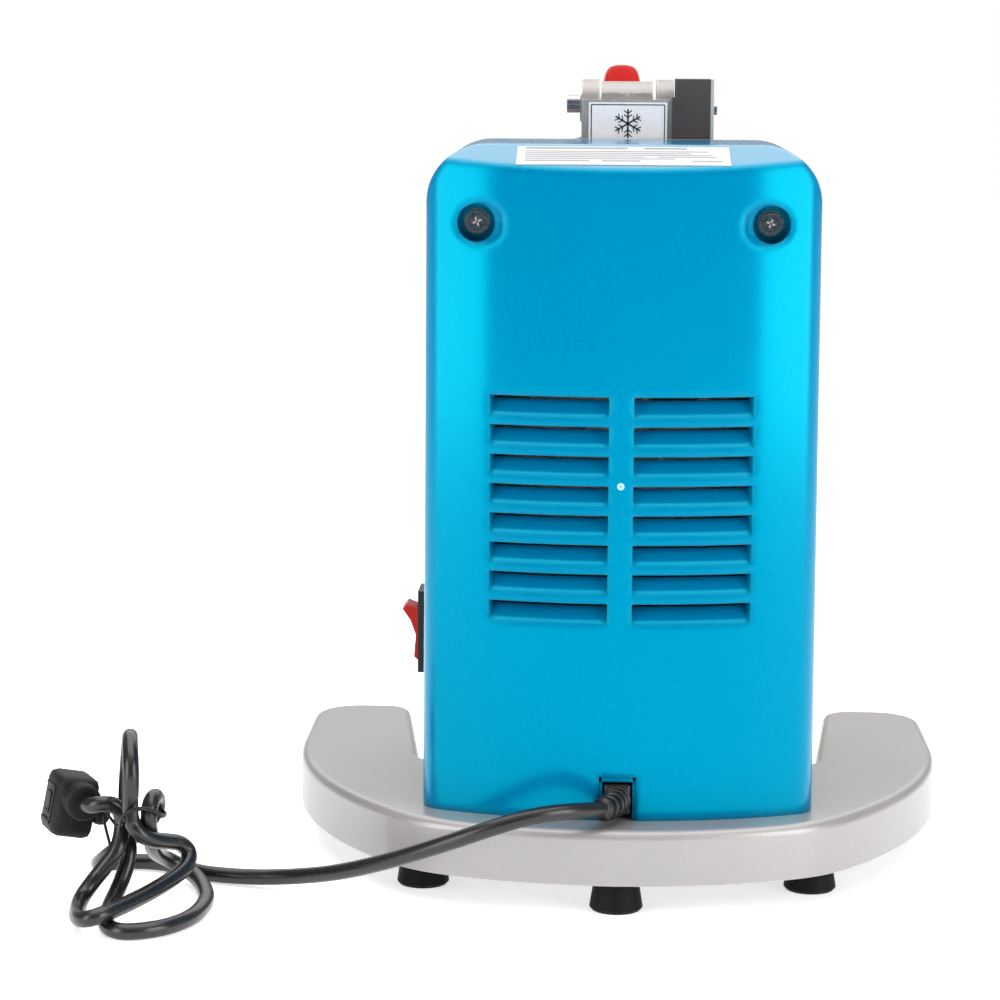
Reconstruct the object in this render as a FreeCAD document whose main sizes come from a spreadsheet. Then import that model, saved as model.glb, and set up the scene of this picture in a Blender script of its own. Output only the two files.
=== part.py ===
"""Electric shaved ice machine: motor body on a horseshoe base, with a lever-fed chamber in front.

Millimetres.  X runs across the machine, with the power switch on +X.  The chamber faces -Y and
the louvred rear cover faces +Y.  Z is up, and the feet stand on z = 0 at the footprint's centre.
"""

import FreeCAD
import Part
import Sketcher
import math
import os
import re

# ---------------------------------------------------------------- driving dimensions

SIZES = {
    # base: a deep horseshoe pan
    "base_half_width": 160.0,
    "base_bottom": 14.9,
    "base_height": 25.5,
    "base_wall": 3.0,
    "base_rim_radius": 4.5,
    "base_side_start": -50.0,
    "base_side_radius": 226.0,
    "base_side_turn": 40.0,
    "base_corner_radius": 74.0,
    "base_corner_end": 68.0,
    "gap_back": -2.0,
    "gap_back_half": 97.0,
    "gap_front_half": 111.0,
    "gap_corner_radius": 18.0,
    "arm_inner_radius": 14.0,
    "arm_outer_radius": 24.0,
    # feet
    "foot_radius": 12.3,
    "foot_neck_radius": 10.4,
    "foot_flange_radius": 12.8,
    "foot_flange": 1.6,
    "foot_screw_radius": 2.0,
    "foot_boss_radius": 7.0,
    # rear cover
    "body_front": -18.5,
    "body_bottom": 40.4,
    "body_half_bottom": 90.6,
    "body_half_top": 89.3,
    "body_top": 346.9,
    "body_top_radius": 26.0,
    "body_back": 112.3,
    "body_back_radius": 210.0,
    "body_corner_radius": 13.0,
    "body_slope_start": 70.0,
    "body_back_edge": 336.9,
    "body_edge_round": 3.0,
    "cover_wall": 3.0,
    "frame_thickness": 6.0,
    "well_x": 66.4,
    "well_z": 312.4,
    "well_radius": 8.6,
    "well_mouth_radius": 10.2,
    "well_floor": 86.0,
    "label_length": 96.0,
    "label_depth": 31.0,
    "louvre_top": 237.6,
    "louvre_pitch": 13.45,
    "louvre_count": 8,
    "louvre_lip": 2.3,
    "louvre_height": 9.7,
    "louvre_depth": 7.0,
    "louvre_inner": 5.6,
    "louvre_outer": 59.8,
    "notch_half": 8.4,
    "notch_top": 60.9,
    # power switch
    "switch_y": 46.0,
    "switch_z": 116.6,
    "switch_bezel_width": 22.0,
    "switch_bezel_height": 39.0,
    "switch_proud": 4.4,
    "rocker_width": 15.0,
    # shaving chamber
    "axis_z": 227.4,
    "drum_radius": 84.0,
    "drum_bore": 78.0,
    "drum_front": -92.0,
    "drum_back": -18.5,
    "drum_back_wall": 6.0,
    "cover_plate": 5.0,
    "cover_flat": 54.0,
    "hopper_half": 52.0,
    "hopper_wall": 4.0,
    "hopper_rim": 332.4,
    "hopper_sweep": 94.5,
    "outlet_half": 32.0,
    "chute_screw_z": 137.9,
    # lever hinge
    "hinge_y": -38.5,
    "hinge_z": 363.4,
    "hinge_x": -1.8,
    "ear_span": 44.9,
    "ear_width": 8.5,
    "ear_radius": 12.0,
    "knuckle_width": 25.2,
    "knuckle_radius": 11.0,
    "pin_radius": 3.5,
    "pin_head_radius": 4.4,
    "running_gap": 0.05,
    "lever_travel": 80.0,
    "grip_x": 1.0,
    "grip_length": 30.0,
    "grip_base_radius": 9.4,
    "grip_tip_radius": 5.2,
    # interlock
    "cam_reach": 8.0,
    "plunger_travel": 2.4,
    # spindle
    "shaft_radius": 7.0,
    "disc_radius": 74.0,
    "disc_front": -44.0,
    "disc_thickness": 6.0,
    "blade_length": 52.0,
    "blade_width": 16.0,
    "blade_thickness": 2.0,
    # motor
    "motor_radius": 50.0,
    "stator_radius": 48.0,
    "stator_bore": 28.2,
    "rotor_radius": 27.6,
    "stack_start": 6.0,
    "stack_length": 44.0,
    "bearing_radius": 17.5,
    "bearing_width": 11.0,
    "fan_radius": 42.0,
    # power cord
    "cord_radius": 3.75,
    "plug_length": 24.0,
    "plug_width": 28.0,
    "plug_height": 30.0,
    "plug_collar": 9.0,
}

doc = FreeCAD.newDocument("ice_shaver")
dims = doc.addObject("Spreadsheet::Sheet", "dims")
for row, (alias, number) in enumerate(SIZES.items(), start=1):
    dims.set(f"A{row}", alias)
    dims.set(f"B{row}", str(number))
    dims.setAlias(f"B{row}", alias)
doc.recompute()


def size(alias):
    """The number that the sheet holds under this alias."""
    return float(dims.get(alias))


# ---------------------------------------------------------------- small helpers

WORD = re.compile(r"[a-z][a-z0-9_]*")
TURNS = {
    "z": FreeCAD.Rotation(),
    "x": FreeCAD.Rotation(FreeCAD.Vector(0, 1, 0), 90),
    "y": FreeCAD.Rotation(FreeCAD.Vector(1, 0, 0), -90),
}
nodes = {}


def formula(text):
    """Point every alias in an expression at the sheet."""
    return WORD.sub(lambda word: f"dims.{word[0]}" if word[0] in SIZES else word[0], str(text))


def amount(text):
    """The value of an expression made of aliases, numbers and + - * / only."""
    helper = doc.getObject("amounts") or doc.addObject("App::FeaturePython", "amounts")
    if "value" not in helper.PropertiesList:
        helper.addProperty("App::PropertyFloat", "value")
    helper.setExpression("value", formula(text))
    helper.recompute()
    return helper.value


def bind(thing, **properties):
    for name, text in properties.items():
        thing.setExpression(name.replace("__", "."), formula(text))


def put(thing, at, axis="z"):
    """Place a thing: its own Z along the axis, its origin at three bound coordinates."""
    thing.Placement = FreeCAD.Placement(FreeCAD.Vector(), TURNS[axis])
    for letter, text in zip("xyz", at):
        thing.setExpression(f"Placement.Base.{letter}", formula(text))
    return thing


def box(name, low, spans):
    thing = doc.addObject("Part::Box", name)
    bind(thing, Length=spans[0], Width=spans[1], Height=spans[2])
    return put(thing, low)


def cylinder(name, radius, length, at, axis="z"):
    thing = doc.addObject("Part::Cylinder", name)
    bind(thing, Radius=radius, Height=length)
    return put(thing, at, axis)


def cone(name, radius, end_radius, length, at, axis="z"):
    thing = doc.addObject("Part::Cone", name)
    bind(thing, Radius1=radius, Radius2=end_radius, Height=length)
    return put(thing, at, axis)


def fuse(name, *things):
    thing = doc.addObject("Part::MultiFuse", name)
    thing.Shapes = list(things)
    return thing


def common(name, *things):
    thing = doc.addObject("Part::MultiCommon", name)
    thing.Shapes = list(things)
    return thing


def cut(name, base, *tools):
    thing = doc.addObject("Part::Cut", name)
    thing.Base = base
    thing.Tool = tools[0] if len(tools) == 1 else fuse(name + "_tools", *tools)
    return thing


def group(name, *things):
    thing = doc.addObject("Part::Compound", name)
    thing.Links = list(things)
    return thing


def ring(name, outer, inner, length, at, axis="y"):
    return cut(name, cylinder(name + "_outer", outer, length, at, axis),
               cylinder(name + "_inner", inner, length, at, axis))


def node(thing, label):
    """Hand a finished piece in under the name of its file."""
    thing.Label = label
    nodes[label] = thing
    return thing


def new_body(name):
    return doc.addObject("PartDesign::Body", name)


def new_sketch(body, name, plane, offset="0"):
    sketch = body.newObject("Sketcher::SketchObject", name)
    origin_plane = next(f for f in body.Origin.OriginFeatures if f.Role == plane)
    sketch.AttachmentSupport = [(origin_plane, "")]
    sketch.MapMode = "FlatFace"
    sketch.setExpression("AttachmentOffset.Base.z", formula(offset))
    return sketch


def bind_point(sketch, geometry, point, texts, place):
    """Bind a point's two coordinates to the sheet; a zero coordinate puts it on that axis."""
    for text, value, kind, axis in zip(texts, (place.x, place.y), ("DistanceX", "DistanceY"), (-2, -1)):
        if abs(value) < 1e-9:
            sketch.addConstraint(Sketcher.Constraint("PointOnObject", geometry, point, axis))
            continue
        index = sketch.addConstraint(Sketcher.Constraint(kind, -1, 1, geometry, point, value))
        sketch.setExpression(f"Constraints[{index}]", formula(text))


def draw_polygon(sketch, corners):
    """A closed polygon with every corner's two coordinates bound to the sheet."""
    first = sketch.GeometryCount
    places = [FreeCAD.Vector(amount(a), amount(b), 0) for a, b in corners]
    sides = [Part.LineSegment(p, q) for p, q in zip(places, places[1:] + places[:1])]
    sketch.addGeometry(sides, False)
    count = len(sides)
    for i in range(count):
        following = first + (i + 1) % count
        sketch.addConstraint(Sketcher.Constraint("Coincident", first + i, 2, following, 1))
    for i, (corner, place) in enumerate(zip(corners, places)):
        bind_point(sketch, first + i, 1, corner, place)


def draw_circle(sketch, centre, radius):
    place = FreeCAD.Vector(amount(centre[0]), amount(centre[1]), 0)
    index = sketch.addGeometry(Part.Circle(place, FreeCAD.Vector(0, 0, 1), amount(radius)), False)
    number = sketch.addConstraint(Sketcher.Constraint("Radius", index, amount(radius)))
    sketch.setExpression(f"Constraints[{number}]", formula(radius))
    bind_point(sketch, index, 3, centre, place)


def draw_edges(sketch, edges):
    """Lines and arcs worked out from the sheet, each joined to the next at the ends that meet."""
    first = sketch.GeometryCount
    sketch.addGeometry(edges, False)
    count = len(edges)
    for i in range(count):
        this = first + i
        following = first + (i + 1) % count
        pairs = [(sketch.getPoint(this, a).distanceToPoint(sketch.getPoint(following, b)), a, b)
                 for a in (1, 2) for b in (1, 2)]
        gap, a, b = min(pairs)
        sketch.addConstraint(Sketcher.Constraint("Coincident", this, a, following, b))


def pad(body, sketch, length, reverse=False, name="Pad"):
    feature = body.newObject("PartDesign::Pad", f"{body.Name}_{name}")
    feature.Profile = sketch
    bind(feature, Length=length)
    feature.Reversed = reverse
    return feature


def pocket(body, sketch, length, reverse=False, name="Pocket"):
    """A pocket that must take material away."""
    doc.recompute()
    before = body.Shape.Volume
    feature = body.newObject("PartDesign::Pocket", f"{body.Name}_{name}")
    feature.Profile = sketch
    bind(feature, Length=length)
    feature.Reversed = reverse
    doc.recompute()
    if body.Shape.Volume >= before - 1e-3:
        raise RuntimeError(f"{feature.Name} cuts nothing")
    return feature


def prism(name, plane, corners, length, offset="0", reverse=False):
    """A polygon padded square to its plane."""
    body = new_body(name)
    sketch = new_sketch(body, name + "_sketch", plane, offset)
    draw_polygon(sketch, corners)
    pad(body, sketch, length, reverse)
    return body


def side_prism(name, corners, half):
    """A polygon of (y, z) corners, as wide as the machine's middle plane plus and minus half."""
    return prism(name, "YZ_Plane", corners, f"2 * ({half})", f"-({half})")


def rounded_path(corners, radii):
    """Straight runs with an arc of each inner corner's radius; ends where the corners end."""
    edges = []
    start = corners[0]
    for before, corner, after, radius in zip(corners, corners[1:], corners[2:], radii):
        back = (before - corner).normalize()
        ahead = (after - corner).normalize()
        half = back.getAngle(ahead) / 2
        reach = radius / math.tan(half)
        first = corner + back * reach
        last = corner + ahead * reach
        bisector = (back + ahead).normalize()
        middle = corner + bisector * (radius / math.sin(half) - radius)
        edges.append(Part.LineSegment(start, first))
        edges.append(Part.Arc(first, middle, last))
        start = last
    edges.append(Part.LineSegment(start, corners[-1]))
    return edges


def mirrored(edges):
    """The same edges on the other side of the middle plane, in the order that closes the loop."""
    flipped = []
    for edge in reversed(edges):
        start = FreeCAD.Vector(-edge.EndPoint.x, edge.EndPoint.y, 0)
        end = FreeCAD.Vector(-edge.StartPoint.x, edge.StartPoint.y, 0)
        if isinstance(edge, Part.LineSegment):
            flipped.append(Part.LineSegment(start, end))
            continue
        parameter = (edge.FirstParameter + edge.LastParameter) / 2
        middle = edge.value(parameter)
        flipped.append(Part.Arc(start, FreeCAD.Vector(-middle.x, middle.y, 0), end))
    return flipped


def turned(centre, radius, angle):
    """The point of a circle at an angle from +X, in degrees."""
    return centre + FreeCAD.Vector(math.cos(math.radians(angle)), math.sin(math.radians(angle)), 0) * radius


def arc_about(centre, radius, start, end):
    return Part.Arc(turned(centre, radius, start), turned(centre, radius, (start + end) / 2),
                       turned(centre, radius, end))


# ---------------------------------------------------------------- base and feet

def base_arcs():
    """Centres of the base's side, corner and back arcs, and the back arc's radius."""
    turn = size("base_side_turn")
    end = size("base_corner_end")
    side = FreeCAD.Vector(size("base_half_width") - size("base_side_radius"), size("base_side_start"), 0)
    corner = turned(side, size("base_side_radius") - size("base_corner_radius"), turn)
    last = turned(corner, size("base_corner_radius"), end)
    back_radius = last.x / math.cos(math.radians(end))
    back = turned(last, -back_radius, end)
    return side, corner, back, back_radius


def base_depth():
    """Half the footprint's depth: the arms reach as far forward as the back reaches back."""
    back, back_radius = base_arcs()[2:]
    return back.y + back_radius


def base_outline(inset):
    """The horseshoe seen from above, moved inward by the inset."""
    side, corner, back, back_radius = base_arcs()
    turn = size("base_side_turn")
    end = size("base_corner_end")
    front = -base_depth() + inset
    outer = size("base_half_width") - inset
    gap_back = size("gap_back") + inset
    corners = [
        FreeCAD.Vector(0, gap_back, 0),
        FreeCAD.Vector(size("gap_back_half") + inset, gap_back, 0),
        FreeCAD.Vector(size("gap_front_half") + inset, front, 0),
        FreeCAD.Vector(outer, front, 0),
        FreeCAD.Vector(outer, size("base_side_start"), 0),
    ]
    radii = [
        size("gap_corner_radius") + inset,
        size("arm_inner_radius") - inset,
        size("arm_outer_radius") - inset,
    ]
    half = rounded_path(corners, radii)
    half.append(arc_about(side, size("base_side_radius") - inset, 0, turn))
    half.append(arc_about(corner, size("base_corner_radius") - inset, turn, end))
    half.append(arc_about(back, back_radius - inset, end, 90))
    return half + mirrored(half)


FEET = [("0", "115"), ("91", "76"), ("-91", "76"), ("135", "-104"), ("-135", "-104")]
FRAME_SCREWS = [("72", "16"), ("-72", "16"), ("34", "16"), ("-34", "16")]


def make_base():
    body = new_body("base")
    outline = new_sketch(body, "base_outline", "XY_Plane", "base_bottom")
    draw_edges(outline, base_outline(0))
    shell = pad(body, outline, "base_height")
    doc.recompute()
    top = size("base_bottom") + size("base_height")
    rim = [f"Edge{i + 1}" for i, edge in enumerate(shell.Shape.Edges) if abs(edge.BoundBox.ZMin - top) < 1e-6]
    fillet = body.newObject("PartDesign::Fillet", "base_rim")
    fillet.Base = (shell, rim)
    bind(fillet, Radius="base_rim_radius")
    doc.recompute()
    hollow = new_sketch(body, "base_hollow", "XY_Plane", "base_bottom")
    draw_edges(hollow, base_outline(size("base_wall")))
    pocket(body, hollow, "base_height - base_wall", reverse=True, name="hollow")
    posts = new_sketch(body, "base_posts", "XY_Plane", "base_bottom")
    for x, y in FEET + FRAME_SCREWS:
        draw_circle(posts, (x, y), "foot_boss_radius")
    pad(body, posts, "base_height - 1", name="posts")
    holes = new_sketch(body, "base_holes", "XY_Plane", "base_bottom")
    for x, y in FEET:
        draw_circle(holes, (x, y), "foot_screw_radius")
    pocket(body, holes, "14", reverse=True, name="foot_holes")
    sockets = new_sketch(body, "base_sockets", "XY_Plane", "base_bottom + base_height")
    for x, y in FRAME_SCREWS:
        draw_circle(sockets, (x, y), "2.5")
    pocket(body, sockets, "14", name="frame_holes")
    return node(body, "base")


def make_feet():
    feet = []
    screws = []
    for i, (x, y) in enumerate(FEET):
        flared = cone(f"foot_{i}_flare", "foot_radius", "foot_neck_radius", "base_bottom - foot_flange - 1.4",
                      (x, y, "1.4"))
        sole = cone(f"foot_{i}_sole", "foot_radius - 1.2", "foot_radius", "1.4", (x, y, "0"))
        flange = cylinder(f"foot_{i}_flange", "foot_flange_radius", "foot_flange",
                          (x, y, "base_bottom - foot_flange"))
        recess = cylinder(f"foot_{i}_recess", "5", "6", (x, y, "0"))
        hole = cylinder(f"foot_{i}_hole", "foot_screw_radius", "base_bottom", (x, y, "0"))
        feet.append(cut(f"foot_{i}", fuse(f"foot_{i}_rubber", flared, sole, flange), recess, hole))
        head = cylinder(f"foot_screw_{i}_head", "4", "2.4", (x, y, "3.6"))
        shank = cylinder(f"foot_screw_{i}_shank", "foot_screw_radius", "17", (x, y, "6"))
        screws.append(fuse(f"foot_screw_{i}", head, shank))
    node(group("foot_group", *feet), "feet")
    node(group("foot_screw_group", *screws), "foot_screws")


# ---------------------------------------------------------------- body: rear cover and front frame

def front_view(name, inset, start, length):
    """The body's outline from the front, padded back from the plane y = start."""
    body = new_body(name)
    sketch = new_sketch(body, name + "_sketch", "XZ_Plane", f"-({start})")
    bottom = size("body_bottom")
    top = size("body_top") - inset
    radius = size("body_top_radius") - inset
    wide = size("body_half_bottom") - inset
    narrow = size("body_half_top") - inset
    corners = [
        FreeCAD.Vector(0, bottom, 0),
        FreeCAD.Vector(wide, bottom, 0),
        FreeCAD.Vector(narrow, top, 0),
        FreeCAD.Vector(0, top, 0),
    ]
    path = rounded_path(corners, [0.01, radius])
    half = [Part.LineSegment(corners[0], corners[1]), Part.LineSegment(corners[1], path[2].EndPoint)]
    half += path[3:]
    draw_edges(sketch, half + mirrored(half))
    pad(body, sketch, length, reverse=True)
    return body


def plan_view(name, inset):
    """The body's outline from above, as tall as the body."""
    body = new_body(name)
    sketch = new_sketch(body, name + "_sketch", "XY_Plane", "body_bottom")
    front = amount("body_front + frame_thickness")
    half = size("body_half_bottom") - inset
    radius = size("body_back_radius") - inset
    corner_radius = size("body_corner_radius") - inset
    arc_centre = FreeCAD.Vector(0, size("body_back") - inset - radius, 0)
    corner_x = half - corner_radius
    corner_y = arc_centre.y + math.sqrt((radius - corner_radius) ** 2 - corner_x ** 2)
    corner = FreeCAD.Vector(corner_x, corner_y, 0)
    angle = math.degrees(math.atan2(corner.y - arc_centre.y, corner.x))
    side = [
        Part.LineSegment(FreeCAD.Vector(0, front, 0), FreeCAD.Vector(half, front, 0)),
        Part.LineSegment(FreeCAD.Vector(half, front, 0), FreeCAD.Vector(half, corner_y, 0)),
        arc_about(corner, corner_radius, 0, angle),
        arc_about(arc_centre, radius, angle, 90),
    ]
    draw_edges(sketch, side + mirrored(side))
    pad(body, sketch, "body_top - body_bottom")
    return body


def casing(name, inset):
    """The body's outer form, or its hollow when moved inward by the wall."""
    depth = "body_back - body_front"
    front = front_view(name + "_front_view", inset, "body_front + frame_thickness", depth)
    plan = plan_view(name + "_plan_view", inset)
    side = side_prism(name + "_side_view", [
        ("body_front", "body_bottom"),
        ("body_back + 5", "body_bottom"),
        ("body_back + 5", f"body_back_edge - {inset} - 1.1"),
        ("body_slope_start", f"body_top - {inset}"),
        ("body_front", f"body_top - {inset}"),
    ], "body_half_bottom + 5")
    return common(name, front, plan, side)


def round_back_edges(shell):
    """Round the edge where the cover's back meets its top and its shoulders."""
    doc.recompute()
    chosen = []
    for i, edge in enumerate(shell.Shape.Edges):
        middle = edge.valueAt((edge.FirstParameter + edge.LastParameter) / 2)
        upright = abs(edge.Vertexes[0].Z - edge.Vertexes[-1].Z) > 60
        if middle.y > 80 and middle.z > 318 and not upright:
            chosen.append((i + 1, size("body_edge_round"), size("body_edge_round")))
    rounded = doc.addObject("Part::Fillet", "cover_rounded")
    rounded.Base = shell
    rounded.Edges = chosen
    doc.recompute()
    return rounded


def louvre_column(name, start, end, points):
    """One (radius, z) profile turned about the back wall's own centre line."""
    radius = size("body_back_radius")
    centre = FreeCAD.Vector(0, size("body_back") - radius, 0)
    places = [FreeCAD.Vector(0, centre.y + r, z) for r, z in points]
    face = Part.Face(Part.makePolygon(places + places[:1]))
    first = math.degrees(math.asin(start / radius))
    last = math.degrees(math.asin(end / radius))
    face.rotate(centre, FreeCAD.Vector(0, 0, 1), -first)
    solid = face.revolve(centre, FreeCAD.Vector(0, 0, 1), first - last)
    feature = doc.addObject("Part::Feature", name)
    feature.Shape = solid
    return feature


def make_louvres():
    """Inner blocks that carry the louvres, and the openings cut through them."""
    outside = size("body_back_radius")
    deep = outside - size("louvre_depth")
    wall = size("cover_wall")
    lowest = size("louvre_top") - size("louvre_pitch") * size("louvre_count")
    blocks = []
    openings = []
    for side in (-1, 1):
        ends = sorted((side * size("louvre_inner"), side * size("louvre_outer")))
        block = [
            (outside - 1, size("louvre_top")),
            (outside - 1, lowest),
            (outside - wall, lowest),
            (deep - 2, lowest + size("louvre_height")),
            (deep - 2, size("louvre_top")),
        ]
        block_ends = (ends[0] - wall, ends[1] + wall)
        blocks.append(louvre_column(f"louvre_block_{side + 1}", *block_ends, block))
        for row in range(int(size("louvre_count"))):
            top = size("louvre_top") - row * size("louvre_pitch") - size("louvre_lip")
            slot = top - 2.2
            opening = [
                (outside + 2, top),
                (outside + 2, top - size("louvre_height") - 1.9),
                (outside - 0.2, top - size("louvre_height")),
                (deep, slot),
                (deep - 4, slot),
                (deep - 4, top),
            ]
            openings.append(louvre_column(f"louvre_{side + 1}_{row}", *ends, opening))
    return blocks, openings


def make_rear_cover():
    outer = round_back_edges(casing("cover_outer", 0))
    inner = casing("cover_inner", size("cover_wall"))
    blocks, openings = make_louvres()
    tubes = []
    wells = []
    for side in ("well_x", "-well_x"):
        tag = "right" if side == "well_x" else "left"
        tubes.append(cylinder(f"well_{tag}_tube", "well_radius + 2.4", "20",
                              (side, "well_floor - 3", "well_z"), "y"))
        wells.append(cylinder(f"well_{tag}", "well_radius", "30", (side, "well_floor", "well_z"), "y"))
        wells.append(cone(f"well_{tag}_mouth", "well_radius", "well_mouth_radius + 3", "5",
                          (side, "100.2", "well_z"), "y"))
        wells.append(cylinder(f"well_{tag}_hole", "2.75", "10", (side, "well_floor - 6", "well_z"), "y"))
    shell = cut("cover_shell", outer, inner)
    trimmed = common("well_tubes_trimmed", fuse("well_tubes", *tubes), outer)
    solid = fuse("cover_solid", shell, trimmed, *blocks)
    notch = box("cord_notch", ("-notch_half", "80", "body_bottom - 1"),
                ("2 * notch_half", "40", "notch_top - body_bottom + 1"))
    window = box("switch_window", ("80", "switch_y - switch_bezel_width / 2 + 2.5",
                                   "switch_z - switch_bezel_height / 2 + 3"),
                 ("20", "switch_bezel_width - 5", "switch_bezel_height - 6"))
    node(cut("rear_cover", solid, notch, window, *wells, *openings), "rear_cover")


def make_front_frame():
    """The cast front of the body: it carries the motor, the chamber and the rear cover."""
    plate = front_view("frame_plate", 0, "body_front", "frame_thickness")
    parts = [plate]
    for i, x in enumerate(("well_x", "-well_x")):
        parts.append(cylinder(f"frame_post_{i}", "6", "well_floor - 3 - body_front - 4",
                              (x, "body_front + 4", "well_z"), "y"))
    parts.append(box("frame_foot", ("-82", "body_front + 4", "body_bottom"), ("164", "45", "6")))
    for i, x in enumerate(("-60", "54")):
        parts.append(side_rib(f"frame_rib_{i}", x))
    holes = [cylinder("frame_register", "30", "20", ("0", "body_front - 5", "axis_z"), "y")]
    for i, (x, y) in enumerate(FRAME_SCREWS):
        holes.append(cylinder(f"frame_screw_hole_{i}", "2.5", "12", (x, y, "body_bottom - 2")))
    for i, x in enumerate(("well_x", "-well_x")):
        holes.append(cylinder(f"post_hole_{i}", "2", "16", (x, "well_floor - 19", "well_z"), "y"))
    for i, (x, z) in enumerate(CHAMBER_BOLTS):
        holes.append(cylinder(f"chamber_bolt_hole_{i}", "3", "30", (x, "body_front - 5", z), "y"))
    for i, (x, z) in enumerate(MOTOR_BOLTS):
        holes.append(cylinder(f"motor_bolt_hole_{i}", "2", "30", (x, "body_front - 5", z), "y"))
    node(cut("front_frame", fuse("frame_casting", *parts), *holes), "front_frame")


def side_rib(name, x):
    rib = prism(name, "YZ_Plane", [("body_front + 4", "body_bottom + 4"), ("24", "body_bottom + 4"),
                                   ("body_front + 4", "body_bottom + 60")], "6", x)
    return rib


def make_cover_screws():
    screws = []
    for i, x in enumerate(("well_x", "-well_x")):
        head = cylinder(f"cover_screw_head_{i}", "4.7", "2.6", (x, "well_floor + 1", "well_z"), "y")
        washer = cylinder(f"cover_washer_{i}", "5.8", "1", (x, "well_floor", "well_z"), "y")
        shank = cylinder(f"cover_screw_shank_{i}", "2", "19", (x, "well_floor - 18.5", "well_z"), "y")
        slot = box(f"cover_screw_slot_{i}", (f"{x} - 2.6", "well_floor + 2.2", "well_z - 0.5"),
                   ("5.2", "2", "1"))
        cross = box(f"cover_screw_cross_{i}", (f"{x} - 0.5", "well_floor + 2.2", "well_z - 2.6"),
                    ("1", "2", "5.2"))
        blank = fuse(f"cover_screw_body_{i}", head, washer, shank)
        screws.append(cut(f"cover_screw_{i}", blank, slot, cross))
    node(group("cover_screw_group", *screws), "cover_screws")


def make_frame_screws():
    screws = []
    for i, (x, y) in enumerate(FRAME_SCREWS):
        head = cylinder(f"frame_screw_head_{i}", "4.4", "3", (x, y, "body_bottom + 6"))
        shank = cylinder(f"frame_screw_shank_{i}", "2.5", "18", (x, y, "body_bottom - 12"))
        screws.append(fuse(f"frame_screw_{i}", head, shank))
    node(group("frame_screw_group", *screws), "frame_screws")


def make_rating_label():
    """A thin plate that lies on the cover's sloping top."""
    rise = size("body_top") - (size("body_back_edge") - 1.1)
    run = size("body_back") + 5 - size("body_slope_start")
    slope = math.degrees(math.atan2(rise, run))
    label = doc.addObject("Part::Box", "label_plate")
    bind(label, Length="label_length", Width="label_depth", Height="0.3")
    start = FreeCAD.Vector(0.5 - size("label_length") / 2, size("body_slope_start") + 5, 0)
    start.z = size("body_top") - (start.y - size("body_slope_start")) * math.tan(math.radians(slope))
    label.Placement = FreeCAD.Placement(start, FreeCAD.Rotation(FreeCAD.Vector(1, 0, 0), -slope))
    node(label, "rating_label")


# ---------------------------------------------------------------- power switch

def make_switch():
    """A panel rocker switch on the +X side, with its spade terminals inside."""
    wall = "body_half_bottom"
    bezel = box("switch_bezel",
                (wall, "switch_y - switch_bezel_width / 2", "switch_z - switch_bezel_height / 2"),
                ("switch_proud", "switch_bezel_width", "switch_bezel_height"))
    can = box("switch_can", (f"{wall} - 26", "switch_y - 8.4", "switch_z - 16.4"), ("26 + 2", "16.8", "32.8"))
    well = box("switch_well", (f"{wall} - 12", "switch_y - rocker_width / 2 - 0.3", "switch_z - 15.7"),
               ("40", "rocker_width + 0.6", "31.4"))
    sockets = cylinder("switch_sockets", "1.5 + running_gap", "16.4",
                       (wall, "switch_y - 8.2", "switch_z"), "y")
    node(cut("switch_housing", fuse("switch_shell", bezel, can), well, sockets), "switch_housing")
    # the rocker turns on two trunnions just behind the bezel's face
    body = prism("rocker_body", "XZ_Plane", [
        (f"{wall} - 8", "switch_z - 6"),
        (f"{wall} + 4.6", "switch_z - 14.2"),
        (f"{wall} + 6.4", "switch_z - 12.6"),
        (f"{wall} + 5.6", "switch_z - 2"),
        (f"{wall} + 8.2", "switch_z + 5"),
        (f"{wall} + 11.9", "switch_z + 10.4"),
        (f"{wall} + 9.8", "switch_z + 12.8"),
        (f"{wall} - 8", "switch_z + 6"),
    ], "rocker_width", "-(switch_y + rocker_width / 2)")
    trunnions = cylinder("rocker_trunnions", "1.5", "16.2", (wall, "switch_y - 8.1", "switch_z"), "y")
    node(fuse("switch_rocker", body, trunnions), "switch_rocker")
    blades = []
    for i, z in enumerate(("switch_z - 9", "switch_z + 8.2")):
        blades.append(box(f"terminal_{i}", (f"{wall} - 36", "switch_y - 3.2", z), ("10", "6.4", "0.8")))
    node(group("terminal_group", *blades), "switch_terminals")


# ---------------------------------------------------------------- chamber, chute and lever hinge

CHAMBER_BOLTS = [("45", "axis_z + 45"), ("-45", "axis_z + 45"), ("45", "axis_z - 45"), ("-45", "axis_z - 45")]
MOTOR_BOLTS = [("38", "axis_z"), ("-38", "axis_z"), ("0", "axis_z + 38"), ("0", "axis_z - 38")]
COVER_SCREWS = [("81 * 0.866", "axis_z + 81 / 2"), ("-81 * 0.866", "axis_z + 81 / 2"),
                ("81 * 0.5", "axis_z - 81 * 0.866"), ("-81 * 0.5", "axis_z - 81 * 0.866")]


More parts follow.
